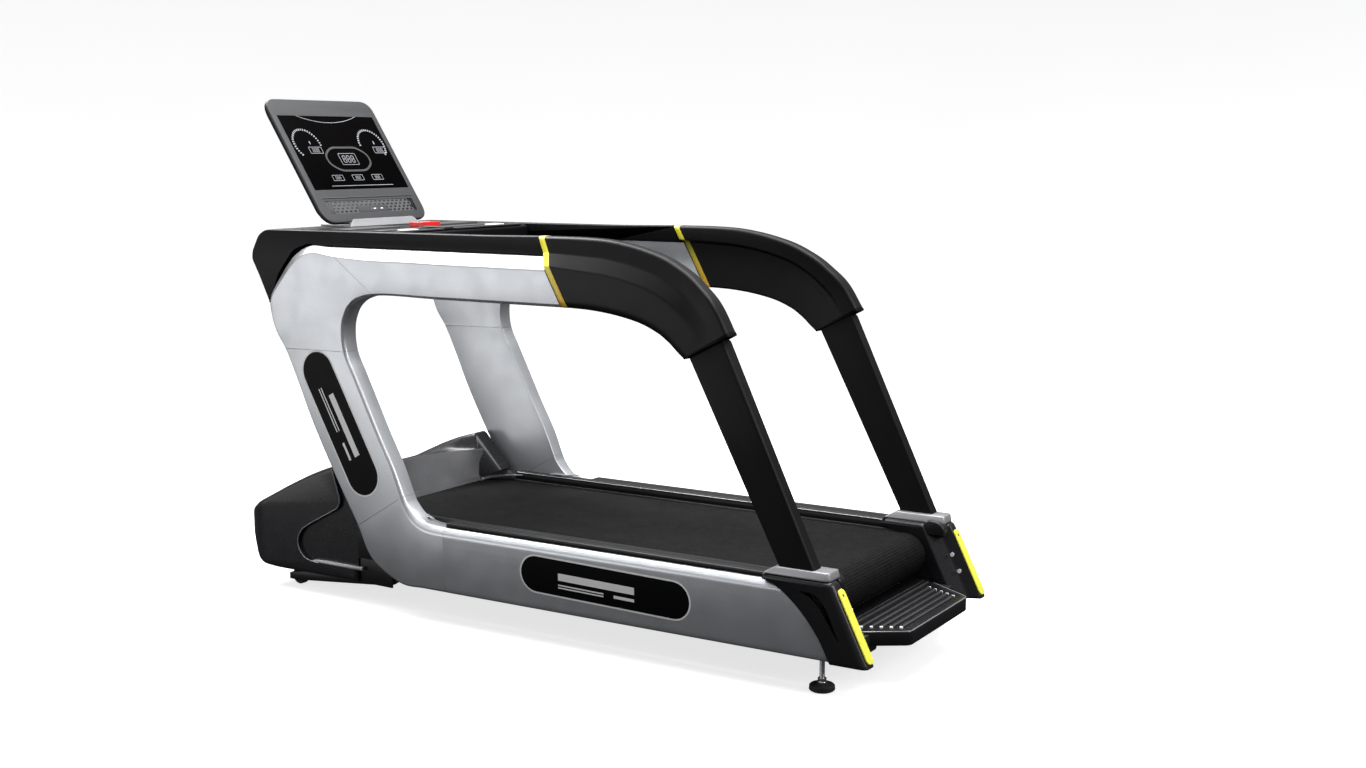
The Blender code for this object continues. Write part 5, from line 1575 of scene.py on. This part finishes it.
def lift_gear():
    """Lift frame, and the actuator with its rod and fork."""
    put(refine("lift_frame_skin", "lift_frame", STEEL_BLACK, 0.0012), "lift_frame", "steel_black",
        "lift_frame")
    z = 0.075 + 0.060 * math.cos(0.375) - 0.004
    lathe("lift_actuator_skin", "lift_actuator", "frame", "motor_grey", (-0.150, z),
          [(0.6450, 0.0108), (0.6450, 0.0175), (0.6465, 0.0190), (0.690, 0.0190), (0.692, 0.0182),
           (0.838, 0.0182), (0.840, 0.0205), (0.8625, 0.0210), (0.8640, 0.0190), (0.8640, 0.0110),
           (0.8300, 0.0100), (0.8300, 0.0106), (0.6460, 0.0106)], MOTOR_GREY, "Y", 48)
    low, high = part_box("actuator_rod")
    y0 = low.y + 0.026
    profile = [(y0, 0.0080), (y0 + 0.0015, 0.0095), (high.y - 0.0015, 0.0095), (high.y, 0.0080)]
    rod = turned("actuator_rod_skin", (-0.150, z), profile, CHROME, "Y", 40)
    put(rod, "actuator_rod", "chrome", "actuator_rod")
    for side, word in SIDES:
        x0, x1 = sorted((-0.150 + side * 0.0075, -0.150 + side * 0.0125))
        ear = block("rod_ear_" + word, (x0, low.y, low.z + 0.0015), (x1, y0 + 0.010, high.z - 0.0015), 0.0012,
                    STEEL_BLACK)
        put(ear, "actuator_rod", "steel_black")


def transport_wheel(word):
    """Rubber-tyred wheel with a moulded hub round its axle."""
    low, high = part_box("transport_wheel_" + word)
    centre = ((low.y + high.y) / 2, (low.z + high.z) / 2)
    radius = (high.z - low.z) / 2
    x0, x1 = low.x, high.x
    tread = [(x0 + 0.004, 0.0195), (x0 + 0.001, 0.0205), (x0, 0.0225), (x0 + 0.0006, radius - 0.003),
             (x0 + 0.0035, radius), (x1 - 0.0035, radius), (x1 - 0.0006, radius - 0.003), (x1, 0.0225),
             (x1 - 0.001, 0.0205), (x1 - 0.004, 0.0195)]
    tyre = bored("wheel_tyre_" + word, centre, tread, 0.0190, (x0 + 0.004, x1 - 0.004), RUBBER)
    put(tyre, "wheel_" + word, "rubber_black", "transport_wheel_" + word)
    web = [(x0 + 0.003, 0.0185), (x0 + 0.002, 0.0170), (x0 + 0.005, 0.0160), (x0 + 0.005, 0.0095),
           (x0 + 0.001, 0.0085), (x1 - 0.001, 0.0085), (x1 - 0.005, 0.0095), (x1 - 0.005, 0.0160),
           (x1 - 0.002, 0.0170), (x1 - 0.003, 0.0185)]
    hub = bored("wheel_hub_" + word, centre, web, 0.0062, (x0 + 0.001, x1 - 0.001), PLATE_GREY)
    put(hub, "wheel_" + word, "panel_charcoal")


def levelling_foot(word):
    """Rubber-shod disc on a bright threaded stem with a lock nut."""
    low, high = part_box("levelling_foot_" + word)
    centre = ((low.x + high.x) / 2, (low.y + high.y) / 2)
    radius = (high.x - low.x) / 2
    body = "levelling_foot_" + word
    disc = [(0.0, radius - 0.006), (0.0012, radius - 0.0035), (0.004, radius - 0.0005), (0.006, radius),
            (0.009, radius - 0.0008), (0.0095, radius - 0.002), (0.0105, radius - 0.002),
            (0.011, radius - 0.0005), (0.0155, radius - 0.001), (0.0185, radius - 0.004),
            (0.0205, radius - 0.012), (0.0215, 0.016), (0.0245, 0.0135)]
    put(turned("foot_disc_" + word, centre, disc, RUBBER, "Z", 72), body, "rubber_black", body)
    stem = [(0.0240, 0.0125), (0.0262, 0.0115), (0.0275, 0.0080)]
    thread = []
    z, pitch = 0.029, 0.0018
    while z < high.z - 0.003:
        thread += [(z, 0.0074), (z + pitch / 2, 0.0066)]
        z += pitch
    stem += thread + [(high.z - 0.001, 0.0070), (high.z, 0.0060)]
    put(turned("foot_stem_" + word, centre, stem, CHROME, "Z", 40), body, "chrome")
    nut = rounded(circle(centre, 0.0125, 6), 0.0015, 2)
    put(slab("foot_nut_" + word, nut, "Z", 0.0285, 0.0365, 0.0008, CHROME), body, "chrome")


def structure():
    """Hidden steel and drive parts, with their edges eased."""
    for name, surface, slot_name in (("front_frame", STEEL_BLACK, "steel_black"),
                                     ("rear_crossmember", STEEL_BLACK, "steel_black"),
                                     ("frame_rail_left", STEEL_BLACK, "steel_black"),
                                     ("frame_rail_right", STEEL_BLACK, "steel_black"),
                                     ("motor_controller", TURNED_STEEL, "motor_grey"),
                                     ("power_inlet", DEEP_BLACK_AND_SHADE, "black_plastic"),
                                     ("deck_board", WOOD, "deck_board")):
        put(refine(name + "_skin", name, surface, 0.0010), "frame", slot_name, name)
    for name, surface in (("mast_left", STEEL_BLACK), ("mast_right", STEEL_BLACK),
                          ("console_crossbeam", STEEL_BLACK), ("drive_belt", RUBBER)):
        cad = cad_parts[name]
        cad.data.materials.clear()
        cad.data.materials.append(surface)


# Floor, lights and camera
def stage():
    """Pale floor that sweeps up into a pale surround."""
    profile = [(6.0, 0.0), (10.0, 0.0)]
    sweep = np.linspace(0.1, math.pi / 2, 14)
    profile += [(10.0 + 5.0 * math.sin(a), 5.0 * (1 - math.cos(a))) for a in sweep]
    profile += [(15.0, 9.0)]
    mesh = bmesh.new()
    rings = bridge(mesh, [[(*p, z) for p in circle((0.0, 0.0), radius, 72)] for radius, z in profile])
    mesh.faces.new(rings[0])
    pale = shader("pale_floor", (0.50, 0.50, 0.50), 0.8, Emission_Color=(1.0, 1.0, 1.0, 1.0),
                  Emission_Strength=0.74)
    vary_colour(pale, pattern(pale, 0.6, 3.0), (0.49, 0.49, 0.49), (0.51, 0.51, 0.51))
    floor = add("studio_floor", mesh, pale, 60.0)
    floor.visible_glossy = False
    floor.visible_diffuse = False


def studio_world():
    """Soft surround: bright overhead, darker towards and below the horizon."""
    world = bpy.data.worlds.new("studio")
    bpy.context.scene.world = world
    world.use_nodes = True
    tree = world.node_tree
    background = tree.nodes["Background"]
    background.inputs["Strength"].default_value = 0.85
    split = node(tree, "ShaderNodeSeparateXYZ")
    ramp = node(tree, "ShaderNodeValToRGB")
    elements = ramp.color_ramp.elements
    elements[0].position = 0.0
    elements[0].color = (0.03, 0.03, 0.03, 1.0)
    elements[1].position = 1.0
    elements[1].color = (1.0, 1.0, 1.0, 1.0)
    for position, level in ((0.38, 0.05), (0.47, 0.16), (0.54, 0.20), (0.66, 0.30), (0.82, 0.70)):
        stop = elements.new(position)
        stop.color = (level, level, level * 1.03, 1.0)
    half = node(tree, "ShaderNodeMapRange")
    half.inputs["From Min"].default_value = -1.0
    feed(tree, split, "Generated")
    tree.links.new(split.outputs["Z"], half.inputs["Value"])
    tree.links.new(half.outputs["Result"], ramp.inputs["Fac"])
    tree.links.new(ramp.outputs["Color"], background.inputs["Color"])


def softbox(name, location, target, size, power):
    """Rectangular studio light that faces a target."""
    data = bpy.data.lights.new(name, "AREA")
    data.shape = "RECTANGLE"
    data.size, data.size_y = size
    data.energy = power
    lamp = bpy.data.objects.new(name, data)
    lamp.location = location
    lamp.rotation_euler = (Vector(target) - Vector(location)).to_track_quat("-Z", "Y").to_euler()
    bpy.context.scene.collection.objects.link(lamp)


def camera():
    """Three-quarter view from behind and to the left, a little above the handrail."""
    data = bpy.data.cameras.new("camera")
    data.lens = 43.057
    data.sensor_width = 36.0
    data.clip_end = 200.0
    eye = bpy.data.objects.new("camera", data)
    eye.location = (-4.184598, -2.917008, 1.464867)
    eye.rotation_euler = (math.radians(90 - 8.325), 0.0, math.radians(-58.453))
    bpy.context.scene.collection.objects.link(eye)
    bpy.context.scene.camera = eye


def studio():
    """Camera, floor, surround and four soft lights."""
    camera()
    stage()
    studio_world()
    softbox("top_box", (0.2, -0.6, 4.6), (0.0, 0.0, 0.5), (5.0, 4.0), 330.0)
    softbox("front_box", (0.5, 3.4, 4.6), (-0.1, 0.0, 0.9), (3.6, 3.0), 430.0)
    softbox("rear_box", (1.0, -6.0, 3.6), (0.0, 0.0, 0.7), (4.0, 2.6), 170.0)
    softbox("side_box", (-5.4, 4.3, 0.75), (-0.4, 0.2, 0.6), (5.2, 2.6), 74.0)
    bpy.context.scene.view_settings.view_transform = "Standard"


for side, word in SIDES:
    silver_covers(side, word)
    side_panel(side, word)
    handrail_band(side, word)
    grip(side, word)
    trim_ring(side, word)
    rear_leg(side, word)
    leg_pad(side, word)
    end_cap(side, word)
    bumper_strip(side, word)
    cap_highlights_and_screws(side, word)
    cap_horn(side, word)
    foot_rail(side, word)
    transport_wheel(word)
    levelling_foot(word)
    labels(side, word)
motor_hood()
kick_wall()
running_belt()
rear_step()
console_bezel()
speaker_grille()
screen()
screen_graphics()
console_shell()
console_bracket()
console_tray()
keys()
rollers()
motor()
lift_gear()
structure()
studio()
